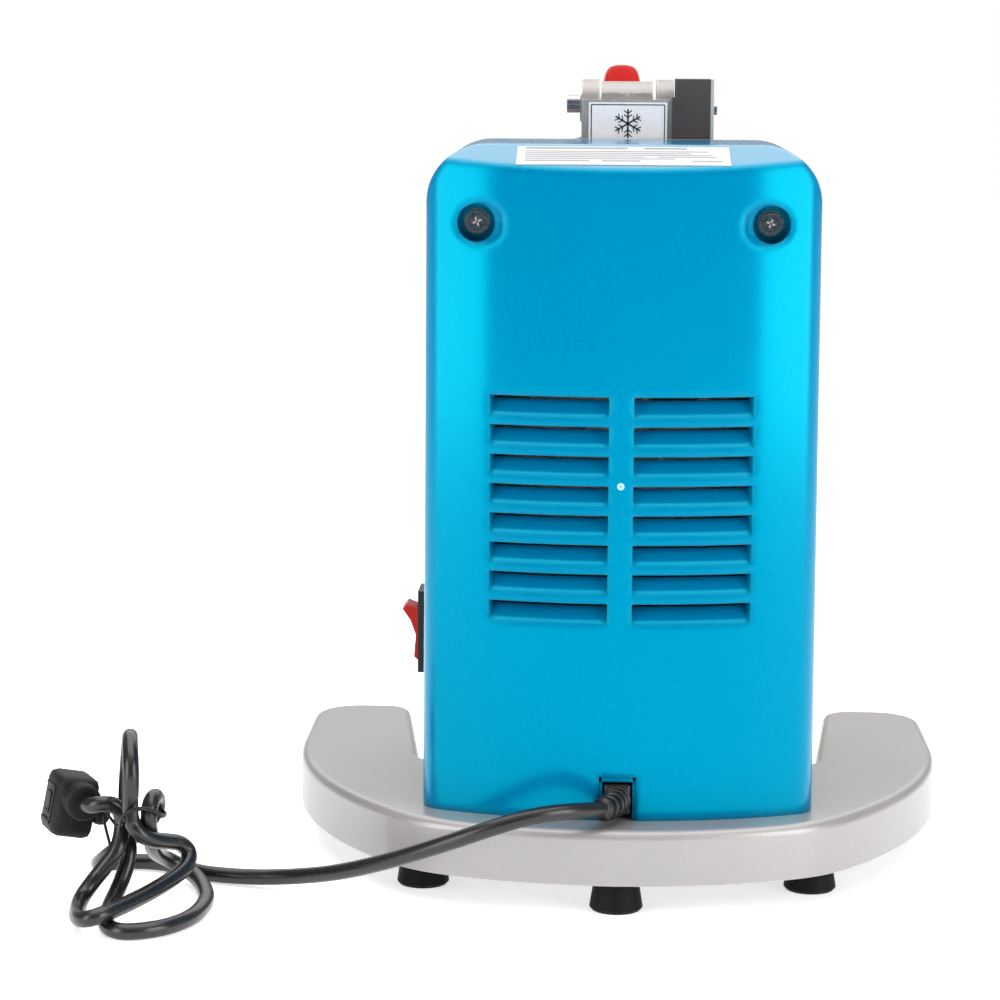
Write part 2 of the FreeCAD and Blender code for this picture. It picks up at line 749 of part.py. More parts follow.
def make_chamber():
    """One casting: the drum, the hopper on top of it, the outlet neck and the two hinge ears."""
    drum = cylinder("drum", "drum_radius", "drum_back - drum_front", ("0", "drum_front", "axis_z"), "y")
    tall = "hopper_rim - axis_z - 30"
    block = box("hopper_block", ("-hopper_half", "-140", "axis_z + 30"), ("2 * hopper_half", "116", tall))
    sweep = cylinder("hopper_sweep_outer", "hopper_sweep + 3.2", "2 * hopper_half",
                     ("-hopper_half", "hinge_y", "hinge_z"), "x")
    keep = box("hopper_back", ("-hopper_half", "-80", "axis_z + 30"), ("2 * hopper_half", "56", tall))
    front = common("hopper_front", block, sweep)
    neck = box("outlet_neck", ("-38", "-46", "axis_z - 95"), ("76", "25.8", "34"))
    pedestal = box("hinge_pedestal", ("hinge_x - ear_span / 2", "-50.5", "axis_z + 70"),
                   ("ear_span", "28.5", "hinge_z - 12.5 - axis_z - 70"))
    back = box("hinge_back", ("hinge_x - ear_span / 2 + 0.7", "-26", "hinge_z - 20"),
               ("ear_span - 2", "4", "22.4"))
    shoulder = prism("hinge_shoulder", "XZ_Plane", [
        ("18", "hopper_rim - 5"),
        ("50", "hopper_rim - 5"),
        ("50", "hopper_rim + 2"),
        ("39", "hopper_rim + 10.5"),
        ("18", "hopper_rim + 15.5"),
    ], "20", "26")
    ears = []
    for i, x in enumerate(("hinge_x - ear_span / 2", "hinge_x + ear_span / 2 - ear_width")):
        ears.append(cylinder(f"ear_{i}", "ear_radius", "ear_width", (x, "hinge_y", "hinge_z"), "x"))
        ears.append(box(f"ear_web_{i}", (x, "hinge_y - ear_radius", "hinge_z - 18"),
                        ("ear_width", "2 * ear_radius", "18")))
        ears.append(box(f"ear_heel_{i}", (x, "hinge_y", "hinge_z - 18"),
                        ("ear_width", "-22 - hinge_y", "18 + 2.4")))
    casting = fuse("chamber_casting", drum, front, keep, neck, pedestal, back, shoulder, *ears)
    bore = cylinder("drum_bore", "drum_bore", "drum_back - drum_front - drum_back_wall",
                    ("0", "drum_front", "axis_z"), "y")
    throat_block = box("throat_block", ("-hopper_half + hopper_wall", "-140", "axis_z"),
                       ("2 * (hopper_half - hopper_wall)", "90", "140"))
    throat_sweep = cylinder("throat_sweep", "hopper_sweep", "2 * hopper_half",
                            ("-hopper_half", "hinge_y", "hinge_z"), "x")
    throat = common("throat", throat_block, throat_sweep)
    outlet = box("outlet", ("-outlet_half", "-37", "axis_z - 105"), ("2 * outlet_half", "12", "60"))
    seal = cylinder("seal_seat", "16", "20", ("0", "drum_back - 15", "axis_z"), "y")
    pin = cylinder("pin_bore", "pin_radius + running_gap", "60", ("hinge_x - 30", "hinge_y", "hinge_z"), "x")
    neck_screws = cylinder("neck_screw_holes", "2", "100", ("-50", "-32", "chute_screw_z"), "x")
    holes = [bore, throat, outlet, seal, pin, neck_screws]
    for i, (x, z) in enumerate(CHAMBER_BOLTS):
        holes.append(cylinder(f"chamber_hole_{i}", "3", "20", (x, "drum_back - 15", z), "y"))
    for i, (x, z) in enumerate(COVER_SCREWS):
        holes.append(cylinder(f"cover_screw_hole_{i}", "1.6", "12", (x, "drum_front", z), "y"))
    node(cut("chamber", casting, *holes), "chamber")


def make_chamber_fittings():
    bolts = []
    for i, (x, z) in enumerate(CHAMBER_BOLTS):
        head = cylinder(f"chamber_bolt_head_{i}", "5", "5", (x, "drum_back - drum_back_wall - 5", z), "y")
        shank = cylinder(f"chamber_bolt_shank_{i}", "3", "20", (x, "drum_back - drum_back_wall", z), "y")
        bolts.append(fuse(f"chamber_bolt_{i}", head, shank))
    node(group("chamber_bolt_group", *bolts), "chamber_bolts")
    disc = cylinder("front_cover_disc", "drum_radius", "cover_plate",
                    ("0", "drum_front - cover_plate", "axis_z"), "y")
    flat = box("front_cover_flat", ("-drum_radius", "drum_front - 10", "axis_z + cover_flat"),
               ("2 * drum_radius", "20", "60"))
    holes = [cylinder(f"front_cover_hole_{i}", "1.6", "20", (x, "drum_front - 10", z), "y")
             for i, (x, z) in enumerate(COVER_SCREWS)]
    node(cut("front_cover", disc, flat, *holes), "front_cover")
    screws = []
    for i, (x, z) in enumerate(COVER_SCREWS):
        head = cylinder(f"front_screw_head_{i}", "3.2", "2.2", (x, "drum_front - cover_plate - 2.2", z), "y")
        shank = cylinder(f"front_screw_shank_{i}", "1.6", "16", (x, "drum_front - cover_plate", z), "y")
        screws.append(fuse(f"front_screw_{i}", head, shank))
    node(group("front_screw_group", *screws), "front_cover_screws")
    plate = box("nameplate_plate", ("hinge_x - 19.2", "-22", "hinge_z - 19.5"), ("38.2", "0.5", "20.6"))
    node(plate, "nameplate")
    node(ring("shaft_seal", "16", "shaft_radius + 0.08", "7", ("0", "drum_back - 7", "axis_z")), "shaft_seal")


def make_chute():
    """A folded steel duct that slopes forward from the outlet neck, over the bowl."""
    outer = side_prism("chute_outer", [
        ("-18.6", "chute_screw_z + 5"),
        ("-18.6", "chute_screw_z - 15.5"),
        ("-48", "chute_screw_z - 47.5"),
        ("-94", "chute_screw_z - 47.5"),
        ("-47.6", "chute_screw_z - 2.5"),
        ("-47.6", "chute_screw_z + 5"),
    ], "39.5")
    inner = side_prism("chute_inner", [
        ("-20.1", "chute_screw_z + 6.5"),
        ("-20.1", "chute_screw_z - 14.9"),
        ("-49.5", "chute_screw_z - 49.5"),
        ("-94", "chute_screw_z - 49.5"),
        ("-46.1", "chute_screw_z - 3.1"),
        ("-46.1", "chute_screw_z + 6.5"),
    ], "38")
    hole = cylinder("chute_hole", "2", "100", ("-50", "-32", "chute_screw_z"), "x")
    node(cut("chute", outer, inner, hole), "chute")
    screws = []
    for i, (x, head_x) in enumerate((("33", "39.5"), ("-39.5", "-41.7"))):
        shank = cylinder(f"chute_screw_shank_{i}", "2", "6.5", (x, "-32", "chute_screw_z"), "x")
        head = cylinder(f"chute_screw_head_{i}", "3.6", "2.2", (head_x, "-32", "chute_screw_z"), "x")
        screws.append(fuse(f"chute_screw_{i}", shank, head))
    node(group("chute_screw_group", *screws), "chute_screws")


# ---------------------------------------------------------------- lever

PRESSER_SCREWS = ("-90", "-80")


def make_lever():
    arm = side_prism("lever_bar", [
        ("hinge_y", "hinge_z - 8"),
        ("hinge_y", "hinge_z + 9"),
        ("-78", "hinge_z + 6.5"),
        ("-104", "hinge_z + 1"),
        ("-104", "hinge_z - 11"),
        ("-80", "hinge_z - 8"),
    ], "8")
    knuckle = cylinder("lever_knuckle", "knuckle_radius", "knuckle_width",
                       ("hinge_x + 0.4 - knuckle_width / 2", "hinge_y", "hinge_z"), "x")
    stem = box("lever_stem", ("-6", "-94", "hinge_z - 54"), ("12", "18", "50"))
    pads = [box(f"knuckle_pad_{i}", (x, "hinge_y + 7", "hinge_z + 2.6"), ("11.2", "3.4", "3"))
            for i, x in enumerate(("hinge_x - 11.6", "hinge_x + 1.2"))]
    bore = cylinder("lever_bore", "pin_radius", "60", ("hinge_x - 30", "hinge_y", "hinge_z"), "x")
    threads = [cylinder(f"lever_thread_{i}", "2", "20", ("0", y, "hinge_z - 62"))
               for i, y in enumerate(PRESSER_SCREWS)]
    node(cut("lever_arm", fuse("lever_casting", arm, knuckle, stem, *pads), bore, *threads), "lever_arm")
    plate = box("presser_plate", ("-44", "-110", "hinge_z - 59"), ("88", "48", "5"))
    ribs = [box(f"presser_rib_{i}", (f"{-40.5 + 16 * i}", "-108", "hinge_z - 62"), ("3", "44", "3"))
            for i in range(6)]
    holes = [cylinder(f"presser_hole_{i}", "2", "20", ("0", y, "hinge_z - 66"))
             for i, y in enumerate(PRESSER_SCREWS)]
    node(cut("presser", fuse("presser_casting", plate, *ribs), *holes), "presser")
    screws = []
    for i, y in enumerate(PRESSER_SCREWS):
        head = cylinder(f"presser_screw_head_{i}", "3.6", "2", ("0", y, "hinge_z - 61"))
        shank = cylinder(f"presser_screw_shank_{i}", "2", "17", ("0", y, "hinge_z - 59"))
        screws.append(fuse(f"presser_screw_{i}", head, shank))
    node(group("presser_screw_group", *screws), "presser_screws")
    stock = cone("grip_stock", "grip_base_radius", "grip_tip_radius", "grip_length", ("0", "0", "0"))
    dome = doc.addObject("Part::Fillet", "grip_body")
    dome.Base = stock
    doc.recompute()
    rim = [(i + 1, 3.4, 3.4) for i, edge in enumerate(stock.Shape.Edges)
           if edge.BoundBox.ZMin > size("grip_length") - 0.1]
    dome.Edges = rim
    dome.Placement = FreeCAD.Placement(FreeCAD.Vector(size("grip_x"), -101.5, size("hinge_z") - 3),
                                       FreeCAD.Rotation(FreeCAD.Vector(1, 0, 0), 50))
    node(cut("lever_grip", dome, arm), "lever_grip")


def make_hinge_pin():
    """The pin turns with the lever, and its far end carries the interlock cam."""
    shank = cylinder("pin_shank", "pin_radius", "61", ("-39.5", "hinge_y", "hinge_z"), "x")
    head = cylinder("pin_head", "pin_head_radius", "6.5", ("21.5", "hinge_y", "hinge_z"), "x")
    node(fuse("hinge_pin", shank, head), "hinge_pin")
    washer = ring("pin_washer", "8.6", "pin_radius", "0.6", ("20.9", "hinge_y", "hinge_z"), "x")
    node(washer, "pin_washer")


def cam_profile():
    """Outline of the cam for a flat follower: its reach falls evenly as the lever opens."""
    sweep = math.radians(size("lever_travel"))
    fall = size("plunger_travel") / sweep
    steps = 10
    corners = [FreeCAD.Vector()]
    for i in range(steps + 1):
        turn = sweep * i / steps
        reach = size("cam_reach") - fall * turn
        across = reach * math.sin(turn) - fall * math.cos(turn)
        down = reach * math.cos(turn) + fall * math.sin(turn)
        corners.append(FreeCAD.Vector(0, across, -down))
    return corners


def make_interlock():
    corners = cam_profile()
    lobe = doc.addObject("Part::Feature", "cam_lobe")
    lobe.Shape = Part.Face(Part.makePolygon(corners + corners[:1])).extrude(FreeCAD.Vector(6, 0, 0))
    lobe.Placement.Base = FreeCAD.Vector(-36, size("hinge_y"), size("hinge_z"))
    hub = cylinder("cam_hub", "5.2", "6", ("-36", "hinge_y", "hinge_z"), "x")
    bore = cylinder("cam_bore", "pin_radius", "10", ("-38", "hinge_y", "hinge_z"), "x")
    node(cut("interlock_cam", fuse("cam_body", lobe, hub), bore), "interlock_cam")
    low = "hinge_z - 31"
    outer = box("interlock_outer", ("-42", "-51", low), ("17", "31", "43.4"))
    lip = box("interlock_lip", ("-25.5", "-21.8", low), ("2.3", "1.8", "34.6"))
    hollow = box("interlock_hollow", ("-43", "-49", "hinge_z - 29"), ("16", "27", "39.4"))
    passage = cylinder("interlock_passage", "5", "10", ("-32", "hinge_y", "hinge_z"), "x")
    node(cut("interlock_box", fuse("interlock_shell", outer, lip), hollow, passage), "interlock_box")
    cover = box("interlock_cover_plate", ("-43.5", "-51", low), ("1.5", "31", "43.4"))
    hole = cylinder("interlock_cover_hole", "1.5", "10", ("-46", "-24", "hinge_z - 2"), "x")
    node(cut("interlock_cover", cover, hole), "interlock_cover")
    screw = fuse("interlock_screw_body",
                 cylinder("interlock_screw_head", "2.8", "1.6", ("-45.1", "-24", "hinge_z - 2"), "x"),
                 cylinder("interlock_screw_shank", "1.5", "4", ("-43.5", "-24", "hinge_z - 2"), "x"))
    node(screw, "interlock_screw")
    switch = box("microswitch_body", ("-40", "-46", "hinge_z - 29"), ("12", "22", "11"))
    guide = cylinder("microswitch_guide", "2.6", "20", ("-33", "hinge_y", "hinge_z - 25"))
    node(cut("microswitch", switch, guide), "microswitch")
    plunger = fuse("plunger_body",
                   cylinder("plunger_stem", "2.5", "13", ("-33", "hinge_y", "hinge_z - 23")),
                   cylinder("plunger_cap", "3.4", "1.8", ("-33", "hinge_y", "hinge_z - cam_reach - 1.95")))
    node(plunger, "interlock_plunger")


# ---------------------------------------------------------------- spindle and motor

FAN_VANES = 8


def make_spindle():
    shaft = cylinder("shaft_bar", "shaft_radius", "142", ("0", "-58", "axis_z"), "y")
    node(shaft, "motor_shaft")
    rotor = ring("rotor", "rotor_radius", "shaft_radius", "stack_length - 4",
                 ("0", "stack_start + 2", "axis_z"))
    node(rotor, "rotor")
    disc = new_body("blade_disc")
    rim = new_sketch(disc, "disc_rim", "XZ_Plane", "-disc_front")
    draw_circle(rim, ("0", "axis_z"), "disc_radius")
    draw_circle(rim, ("0", "axis_z"), "shaft_radius")
    pad(disc, rim, "disc_thickness", reverse=True)
    windows = new_sketch(disc, "disc_windows", "XZ_Plane", "-disc_front")
    for side in ("", "-"):
        draw_polygon(windows, [
            (f"{side}15", f"axis_z + ({side}8)"),
            (f"{side}66", f"axis_z + ({side}8)"),
            (f"{side}66", f"axis_z + ({side}14)"),
            (f"{side}15", f"axis_z + ({side}14)"),
        ])
    pocket(disc, windows, "disc_thickness", reverse=False, name="windows")
    node(disc, "blade_disc")
    blades = []
    screws = []
    for i, turn in enumerate((0, 180)):
        plate = doc.addObject("Part::Wedge", f"blade_{i}")
        bind(plate, Xmin="0", Xmax="blade_length", X2min="0", X2max="blade_length",
             Ymin="0", Ymax="blade_width", Zmin="0", Zmax="blade_thickness", Z2min="0", Z2max="0.3")
        way = FreeCAD.Rotation(FreeCAD.Vector(1, 0, 0), 90)
        spot = FreeCAD.Placement(FreeCAD.Vector(14.5, size("disc_front"), size("axis_z") - 6), way)
        about = FreeCAD.Placement(FreeCAD.Vector(0, 0, 0), FreeCAD.Rotation(FreeCAD.Vector(0, 1, 0), turn),
                                  FreeCAD.Vector(0, 0, size("axis_z")))
        plate.Placement = about.multiply(spot)
        blades.append(plate)
        for j, x in enumerate((24, 57)):
            centre = about.multVec(FreeCAD.Vector(x, size("disc_front") - 4.2, size("axis_z") - 2))
            head = cylinder(f"blade_screw_{i}_{j}", "3", "2.2", (centre.x, centre.y, centre.z), "y")
            screws.append(head)
    node(group("blade_group", *blades), "blades")
    node(group("blade_screw_group", *screws), "blade_screws")
    hub = ring("disc_hub", "14", "shaft_radius", "10", ("0", "disc_front + disc_thickness", "axis_z"))
    node(hub, "disc_hub")
    nut = doc.addObject("Part::Prism", "nut_blank")
    nut.Polygon = 6
    bind(nut, Circumradius="12.5", Height="8")
    put(nut, ("0", "disc_front - 8", "axis_z"), "y")
    bore = cylinder("nut_bore", "shaft_radius", "10", ("0", "disc_front - 9", "axis_z"), "y")
    node(cut("disc_nut", nut, bore), "disc_nut")
    fan_hub = cylinder("fan_hub", "13", "10", ("0", "72", "axis_z"), "y")
    vanes = []
    for i in range(FAN_VANES):
        about = FreeCAD.Rotation(FreeCAD.Vector(0, 1, 0), i * 360 / FAN_VANES)
        vane = doc.addObject("Part::Box", f"fan_vane_{i}")
        bind(vane, Length="fan_radius - 12", Width="1.6", Height="9")
        root = about.multVec(FreeCAD.Vector(12, 0, 0)) + FreeCAD.Vector(0, 73, size("axis_z"))
        pitch = FreeCAD.Rotation(FreeCAD.Vector(1, 0, 0), -60)
        vane.Placement = FreeCAD.Placement(root, about.multiply(pitch))
        vanes.append(vane)
    fan_bore = cylinder("fan_bore", "shaft_radius", "20", ("0", "70", "axis_z"), "y")
    node(cut("cooling_fan", fuse("fan_blank", fan_hub, *vanes), fan_bore), "cooling_fan")


def make_motor():
    frame_face = "body_front + frame_thickness"
    start = "stack_start"
    end = "stack_start + stack_length"
    blank = cylinder("front_bell_blank", "motor_radius", f"{start} - ({frame_face})",
                     ("0", frame_face, "axis_z"), "y")
    cavity = ring("front_bell_cavity", "motor_radius - 5", "22", "10", ("0", f"{start} - 10", "axis_z"))
    seat = cylinder("front_bearing_seat", "bearing_radius", "bearing_width + 1", ("0", "-9", "axis_z"), "y")
    eye = cylinder("front_eye", "9", "20", ("0", "-14", "axis_z"), "y")
    shorten = cylinder("front_boss_end", "23", "10", ("0", "2", "axis_z"), "y")
    front_bell = cut("motor_front_bell", blank, cavity, seat, eye, shorten, *motor_holes("front_bell"))
    node(front_bell, "motor_front_bell")
    blank = cylinder("rear_bell_blank", "motor_radius", "18", ("0", end, "axis_z"), "y")
    cavity = ring("rear_bell_cavity", "motor_radius - 5", "22", "10", ("0", end, "axis_z"))
    seat = cylinder("rear_bearing_seat", "bearing_radius", "bearing_width + 1", ("0", "53", "axis_z"), "y")
    eye = cylinder("rear_eye", "9", "30", ("0", "45", "axis_z"), "y")
    shorten = cylinder("rear_boss_end", "23", "4", ("0", end, "axis_z"), "y")
    rear_bell = cut("motor_rear_bell", blank, cavity, seat, eye, shorten, *motor_holes("rear_bell"))
    node(rear_bell, "motor_rear_bell")
    core = ring("stator_core", "stator_radius", "stator_bore", "stack_length", ("0", start, "axis_z"))
    slots = [cylinder(f"stator_slot_{i}", "3.2", "stack_length", slot_place(i), "y") for i in range(12)]
    node(cut("motor_stator", core, *slots, *motor_holes("stator")), "motor_stator")
    coils = [ring("coil_front", "34.5", "29", "5", ("0", f"{start} - 5", "axis_z")),
             ring("coil_back", "34.5", "29", "5", ("0", end, "axis_z"))]
    wires = [cylinder(f"slot_winding_{i}", "3", "stack_length", slot_place(i), "y") for i in range(12)]
    node(fuse("motor_windings", *coils, *wires), "motor_windings")
    bearings = [ring(f"bearing_{i}", "bearing_radius", "shaft_radius + running_gap", "bearing_width",
                     ("0", y, "axis_z")) for i, y in enumerate(("-9", "54"))]
    node(group("bearing_group", *bearings), "motor_bearings")
    bolts = []
    for i, (x, z) in enumerate(MOTOR_BOLTS):
        shank = cylinder(f"motor_bolt_shank_{i}", "2", "84", (x, "-16", z), "y")
        head = cylinder(f"motor_bolt_head_{i}", "3.8", "3.2", (x, "68", z), "y")
        bolts.append(fuse(f"motor_bolt_{i}", shank, head))
    node(group("motor_bolt_group", *bolts), "motor_bolts")


def slot_place(i):
    turn = math.radians(15 + 30 * i)
    return (32.2 * math.cos(turn), "stack_start", f"axis_z + {32.2 * math.sin(turn)}")


def motor_holes(tag):
    return [cylinder(f"{tag}_bolt_hole_{i}", "2", "120", (x, "-20", z), "y")
            for i, (x, z) in enumerate(MOTOR_BOLTS)]


# ---------------------------------------------------------------- electrics inside the body

def make_electrics():
    can = cylinder("capacitor_can", "15", "58", ("-58", "52", "body_bottom + 8"))
    node(can, "run_capacitor")
    strap = cut("capacitor_strap", box("strap_block", ("-75", "35", "body_bottom"), ("34", "34", "12")),
                cylinder("strap_bore", "15", "30", ("-58", "52", "body_bottom + 8")))
    node(strap, "capacitor_clip")
    block = box("terminal_block_body", ("-12", "46", "body_bottom"), ("40", "16", "14"))
    slots = [box(f"terminal_slot_{i}", (-8 + 12 * i, "45", "body_bottom + 8"), ("8", "18", "8"))
             for i in range(3)]
    node(cut("terminal_block", block, *slots), "terminal_block")


def bent_tube(points, radius):
    """A round tube along straight runs joined by tangent arcs, with the arcs' radii and the path's length."""
    corners = [FreeCAD.Vector(*point) for point in points]
    edges = []
    bends = []
    start = corners[0]
    for before, corner, after in zip(corners, corners[1:], corners[2:]):
        run_in = (before - corner).Length
        run_out = (after - corner).Length
        back = (before - corner).normalize()
        ahead = (after - corner).normalize()
        turn = math.pi - back.getAngle(ahead)
        bend = 0.45 * min(run_in, run_out) / math.tan(turn / 2)
        first = corner + back * (bend * math.tan(turn / 2))
        last = corner + ahead * (bend * math.tan(turn / 2))
        middle = corner + (back + ahead).normalize() * (bend / math.cos(turn / 2) - bend)
        edges.append(Part.LineSegment(start, first).toShape())
        edges.append(Part.Arc(first, middle, last).toShape())
        bends.append(bend)
        start = last
    edges.append(Part.LineSegment(start, corners[-1]).toShape())
    path = Part.Wire(edges)
    section = Part.Wire(Part.makeCircle(radius, corners[0], corners[1] - corners[0]))
    solid = path.makePipeShell([section], True, True)
    drift = abs(solid.Volume / (math.pi * radius ** 2 * path.Length) - 1)
    if drift > 0.01:
        raise RuntimeError("a bent tube's volume does not match its path")
    return solid, bends, path.Length


def make_wiring():
    """Leads from the cord's gland to the terminal block, the switch and the motor."""
    floor = size("body_bottom")
    clamp = floor + 8.3
    leads = {
        "lead_mains": [(0, 97.5, floor + 9), (0, 88, floor + 9), (0, 77, floor + 15), (4, 66, floor + 22),
                       (8, 58, floor + 16), (8, 54, clamp)],
        "lead_switch": [(20, 54, clamp), (22, 56, floor + 24), (34, 52, floor + 50), (46, 47, floor + 66),
                        (54, 46, floor + 67.6)],
        "lead_motor": [(-4, 54, clamp), (-6, 60, floor + 42), (-14, 66, floor + 92), (-23, 66, floor + 122),
                       (-31, 62, floor + 144)],
    }
    tubes = []
    for name, points in leads.items():
        tube = doc.addObject("Part::Feature", name)
        tube.Shape = bent_tube(points, 1.5)[0]
        tubes.append(tube)
    node(group("wiring_group", *tubes), "wiring")


# ---------------------------------------------------------------- power cord

HANK_OUTLINE = [
    ("191", "80"),
    ("207", "64"),
    ("228", "58"),
    ("244", "68"),
    ("247", "92"),
    ("246", "154"),
    ("236", "180"),
    ("218", "186"),
    ("198", "175"),
    ("185", "154"),
    ("183.5", "120"),
]
BOOT_ROUTE = [(0, 108, 49.9), (0.8, 114.5, 49.6), (3.4, 120.4, 49.1), (7.6, 125.6, 48.9)]
CORD_ROUTE = [
    (7.6, 125.6, 48.9),
    (17.5, 135.3, 50.8),
    (30, 142.5, 51.4),
    (43, 146.5, 49.6),
    (58, 148.2, 44.9),
    (80, 142.5, 35.5),
    (104, 129, 24.2),
    (128, 112.5, 14),
    (150, 96, 7.2),
    (171, 88.5, 4.5),
    (191, 82, 3.9),
]


def make_boot():
    """The cord's strain relief: a block held in the notch and a ribbed sleeve that bends with the cord."""
    block = box("boot_block", ("-6.3", "98", "body_bottom + 2.2"), ("12.6", "13", "14.6"))
    flange = box("boot_flange", ("-11", "98", "body_bottom + 0.2"), ("22", "3.5", "19"))
    sleeve = doc.addObject("Part::Feature", "boot_sleeve")
    sleeve.Shape = bent_tube(BOOT_ROUTE, size("cord_radius") + 1.0)[0]
    ribs = []
    for i in range(4):
        share = i / 3
        corner = FreeCAD.Vector(0.4 + 5.7 * share ** 1.5, 112.6 + 11.2 * share, 49.7 - 0.8 * share)
        way = FreeCAD.Vector(0.12 + 0.7 * share, 1, -0.05)
        rib = doc.addObject("Part::Feature", f"boot_rib_{i}")
        rib.Shape = Part.makeCylinder(5.9, 2.0, corner, way)
        ribs.append(rib)
    node(fuse("boot", block, flange, sleeve, *ribs), "cord_boot")


def make_cord():
    tube, bends, length = bent_tube(CORD_ROUTE, size("cord_radius"))
    print("cord tube length", round(length, 1), "bend radii", [round(bend, 1) for bend in bends])
    feature = doc.addObject("Part::Feature", "cord_tube_shape")
    feature.Shape = tube
    node(feature, "cord_tube")
    lying = prism("hank_lying", "XY_Plane", HANK_OUTLINE, "16", "0.2")
    bundle = prism("hank_bundle", "YZ_Plane", [("82", "0.2"), ("160", "0.2"), ("141", "48"), ("106", "48")],
                   "26", "205")
    standing = cylinder("hank_standing", "22", "14", ("216", "124", "60"), "x")
    lead = box("hank_lead", ("228", "119.5", "44"), ("15", "10", "10"))
    outside = fuse("hank_outside", lying, bundle, standing, lead)
    seat = box("tie_seat", ("200", "100", "36"), ("40", "50", "3"))
    waist = box("tie_waist", ("206.5", "108.5", "35"), ("23", "29.5", "5"))
    node(cut("hank", outside, cut("tie_groove", seat, waist)), "cord_hank")
    band = box("tie_band", ("205", "107", "36"), ("26", "32.5", "3"))
    hole = box("tie_hole", ("206.5", "108.5", "35"), ("23", "29.5", "5"))
    node(cut("tie", band, hole), "cord_tie")


# where the plug's collar starts, the way its pins point about Z from +X, and its roll, in degrees
PLUG_SPOT = (243.4, 120.6, 47.0)
PLUG_TURN = -65.0
PLUG_ROLL = 12.0


def make_plug():
    """A moulded three-pin plug: collar, chamfered block, two flat blades and a round earth pin."""
    roll = FreeCAD.Rotation(FreeCAD.Vector(1, 0, 0), PLUG_ROLL)
    way = FreeCAD.Rotation(FreeCAD.Vector(0, 0, 1), PLUG_TURN).multiply(roll)
    spot = FreeCAD.Placement(FreeCAD.Vector(*PLUG_SPOT), way)
    block = doc.addObject("Part::Box", "plug_block")
    bind(block, Length="plug_length", Width="plug_width", Height="plug_height")
    put(block, ("plug_collar", "-plug_width / 2", "-plug_height / 2"))
    doc.recompute()
    moulding = doc.addObject("Part::Chamfer", "plug_moulding")
    moulding.Base = block
    moulding.Edges = [(i + 1, 4.5, 4.5) for i, edge in enumerate(block.Shape.Edges)
                      if abs(edge.Vertexes[0].X - edge.Vertexes[-1].X) > 1]
    collar = cylinder("plug_collar_shape", "9.5", "plug_collar", ("0", "0", "0"), "x")
    body = fuse("plug", moulding, collar)
    body.Placement = spot
    node(body, "plug_body")
    face = "plug_collar + plug_length"
    blades = [box(f"plug_blade_{i}", (face, f"{y} - 0.75", "1"), ("17", "1.5", "6.4"))
              for i, y in enumerate((-6.35, 6.35))]
    earth = cylinder("plug_earth_pin", "2.4", "19", (face, "0", "-7.5"), "x")
    pins = group("plug_pin_group", *blades, earth)
    pins.Placement = spot
    node(pins, "plug_pins")


# ---------------------------------------------------------------- build, check and write

def build():
    make_base()
    make_feet()
    make_rear_cover()
    make_front_frame()
    make_cover_screws()
    make_frame_screws()
    make_rating_label()
    make_switch()
    make_chamber()
    make_chamber_fittings()
    make_chute()
    make_lever()
    make_hinge_pin()
    make_interlock()
    make_spindle()
    make_motor()
    make_electrics()
    make_wiring()
    make_boot()
    make_cord()
    make_plug()
    doc.recompute()


def check_all():
    for thing in doc.Objects:
        if "Invalid" in thing.State or "Error" in thing.State:
            raise RuntimeError(f"{thing.Name} failed: {thing.State}")
    for name, thing in nodes.items():
        if thing.Shape.isNull() or not thing.Shape.isValid():
            raise RuntimeError(f"{name} has no valid shape")


def write_all():
    os.makedirs("parts", exist_ok=True)
    for name, thing in nodes.items():
        thing.Shape.exportStep(f"parts/{name}.step")
    print(len(nodes), "sub-parts written")


build()
check_all()
write_all()
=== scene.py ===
from math import copysign, cos, pi, radians, sin

import bmesh
import bpy
from mathutils import Matrix, Vector


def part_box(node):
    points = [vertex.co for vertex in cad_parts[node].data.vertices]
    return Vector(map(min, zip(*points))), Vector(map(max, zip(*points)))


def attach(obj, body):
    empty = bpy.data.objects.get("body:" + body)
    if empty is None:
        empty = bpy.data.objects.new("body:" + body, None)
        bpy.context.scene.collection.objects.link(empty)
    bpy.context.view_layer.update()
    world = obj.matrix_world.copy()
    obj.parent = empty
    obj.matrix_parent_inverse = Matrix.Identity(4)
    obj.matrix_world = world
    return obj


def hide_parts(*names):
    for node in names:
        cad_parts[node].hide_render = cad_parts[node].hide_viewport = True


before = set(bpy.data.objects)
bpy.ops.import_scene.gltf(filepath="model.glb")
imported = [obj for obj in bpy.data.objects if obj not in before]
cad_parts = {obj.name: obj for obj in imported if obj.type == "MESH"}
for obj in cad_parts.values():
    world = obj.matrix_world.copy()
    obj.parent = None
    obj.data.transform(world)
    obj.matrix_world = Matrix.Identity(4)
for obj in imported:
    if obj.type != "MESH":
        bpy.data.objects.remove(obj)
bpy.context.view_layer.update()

MM = 0.001

# camera: where it stands, how far it turns and tilts, and its lens on a 36 mm sensor
CAMERA_SPOT = (0.005342, 1.458365, 0.388428)
CAMERA_TILT = 8.448
CAMERA_YAW = 2.087
CAMERA_ROLL = 0.330
CAMERA_LENS = 108.65

# lights: name, spot, target, width, height in metres, and watts
SOFTBOXES = (
    ("softbox_left", (1.36, 1.14, 0.45), (0, 0, 0.2), 0.9, 1.5, 20),
    ("softbox_right", (-1.36, 1.10, 0.45), (0, 0, 0.2), 0.9, 1.5, 24),
    ("softbox_top", (0, -0.25, 1.75), (0, 0, 0.2), 2.2, 2.0, 33),
    ("softbox_front", (0, -1.9, 1.25), (0, 0, 0.3), 2.6, 1.4, 16),
)
SUN_POWER = 0.9
SUN_SPREAD = 70
FLOOR_REACH = 6000

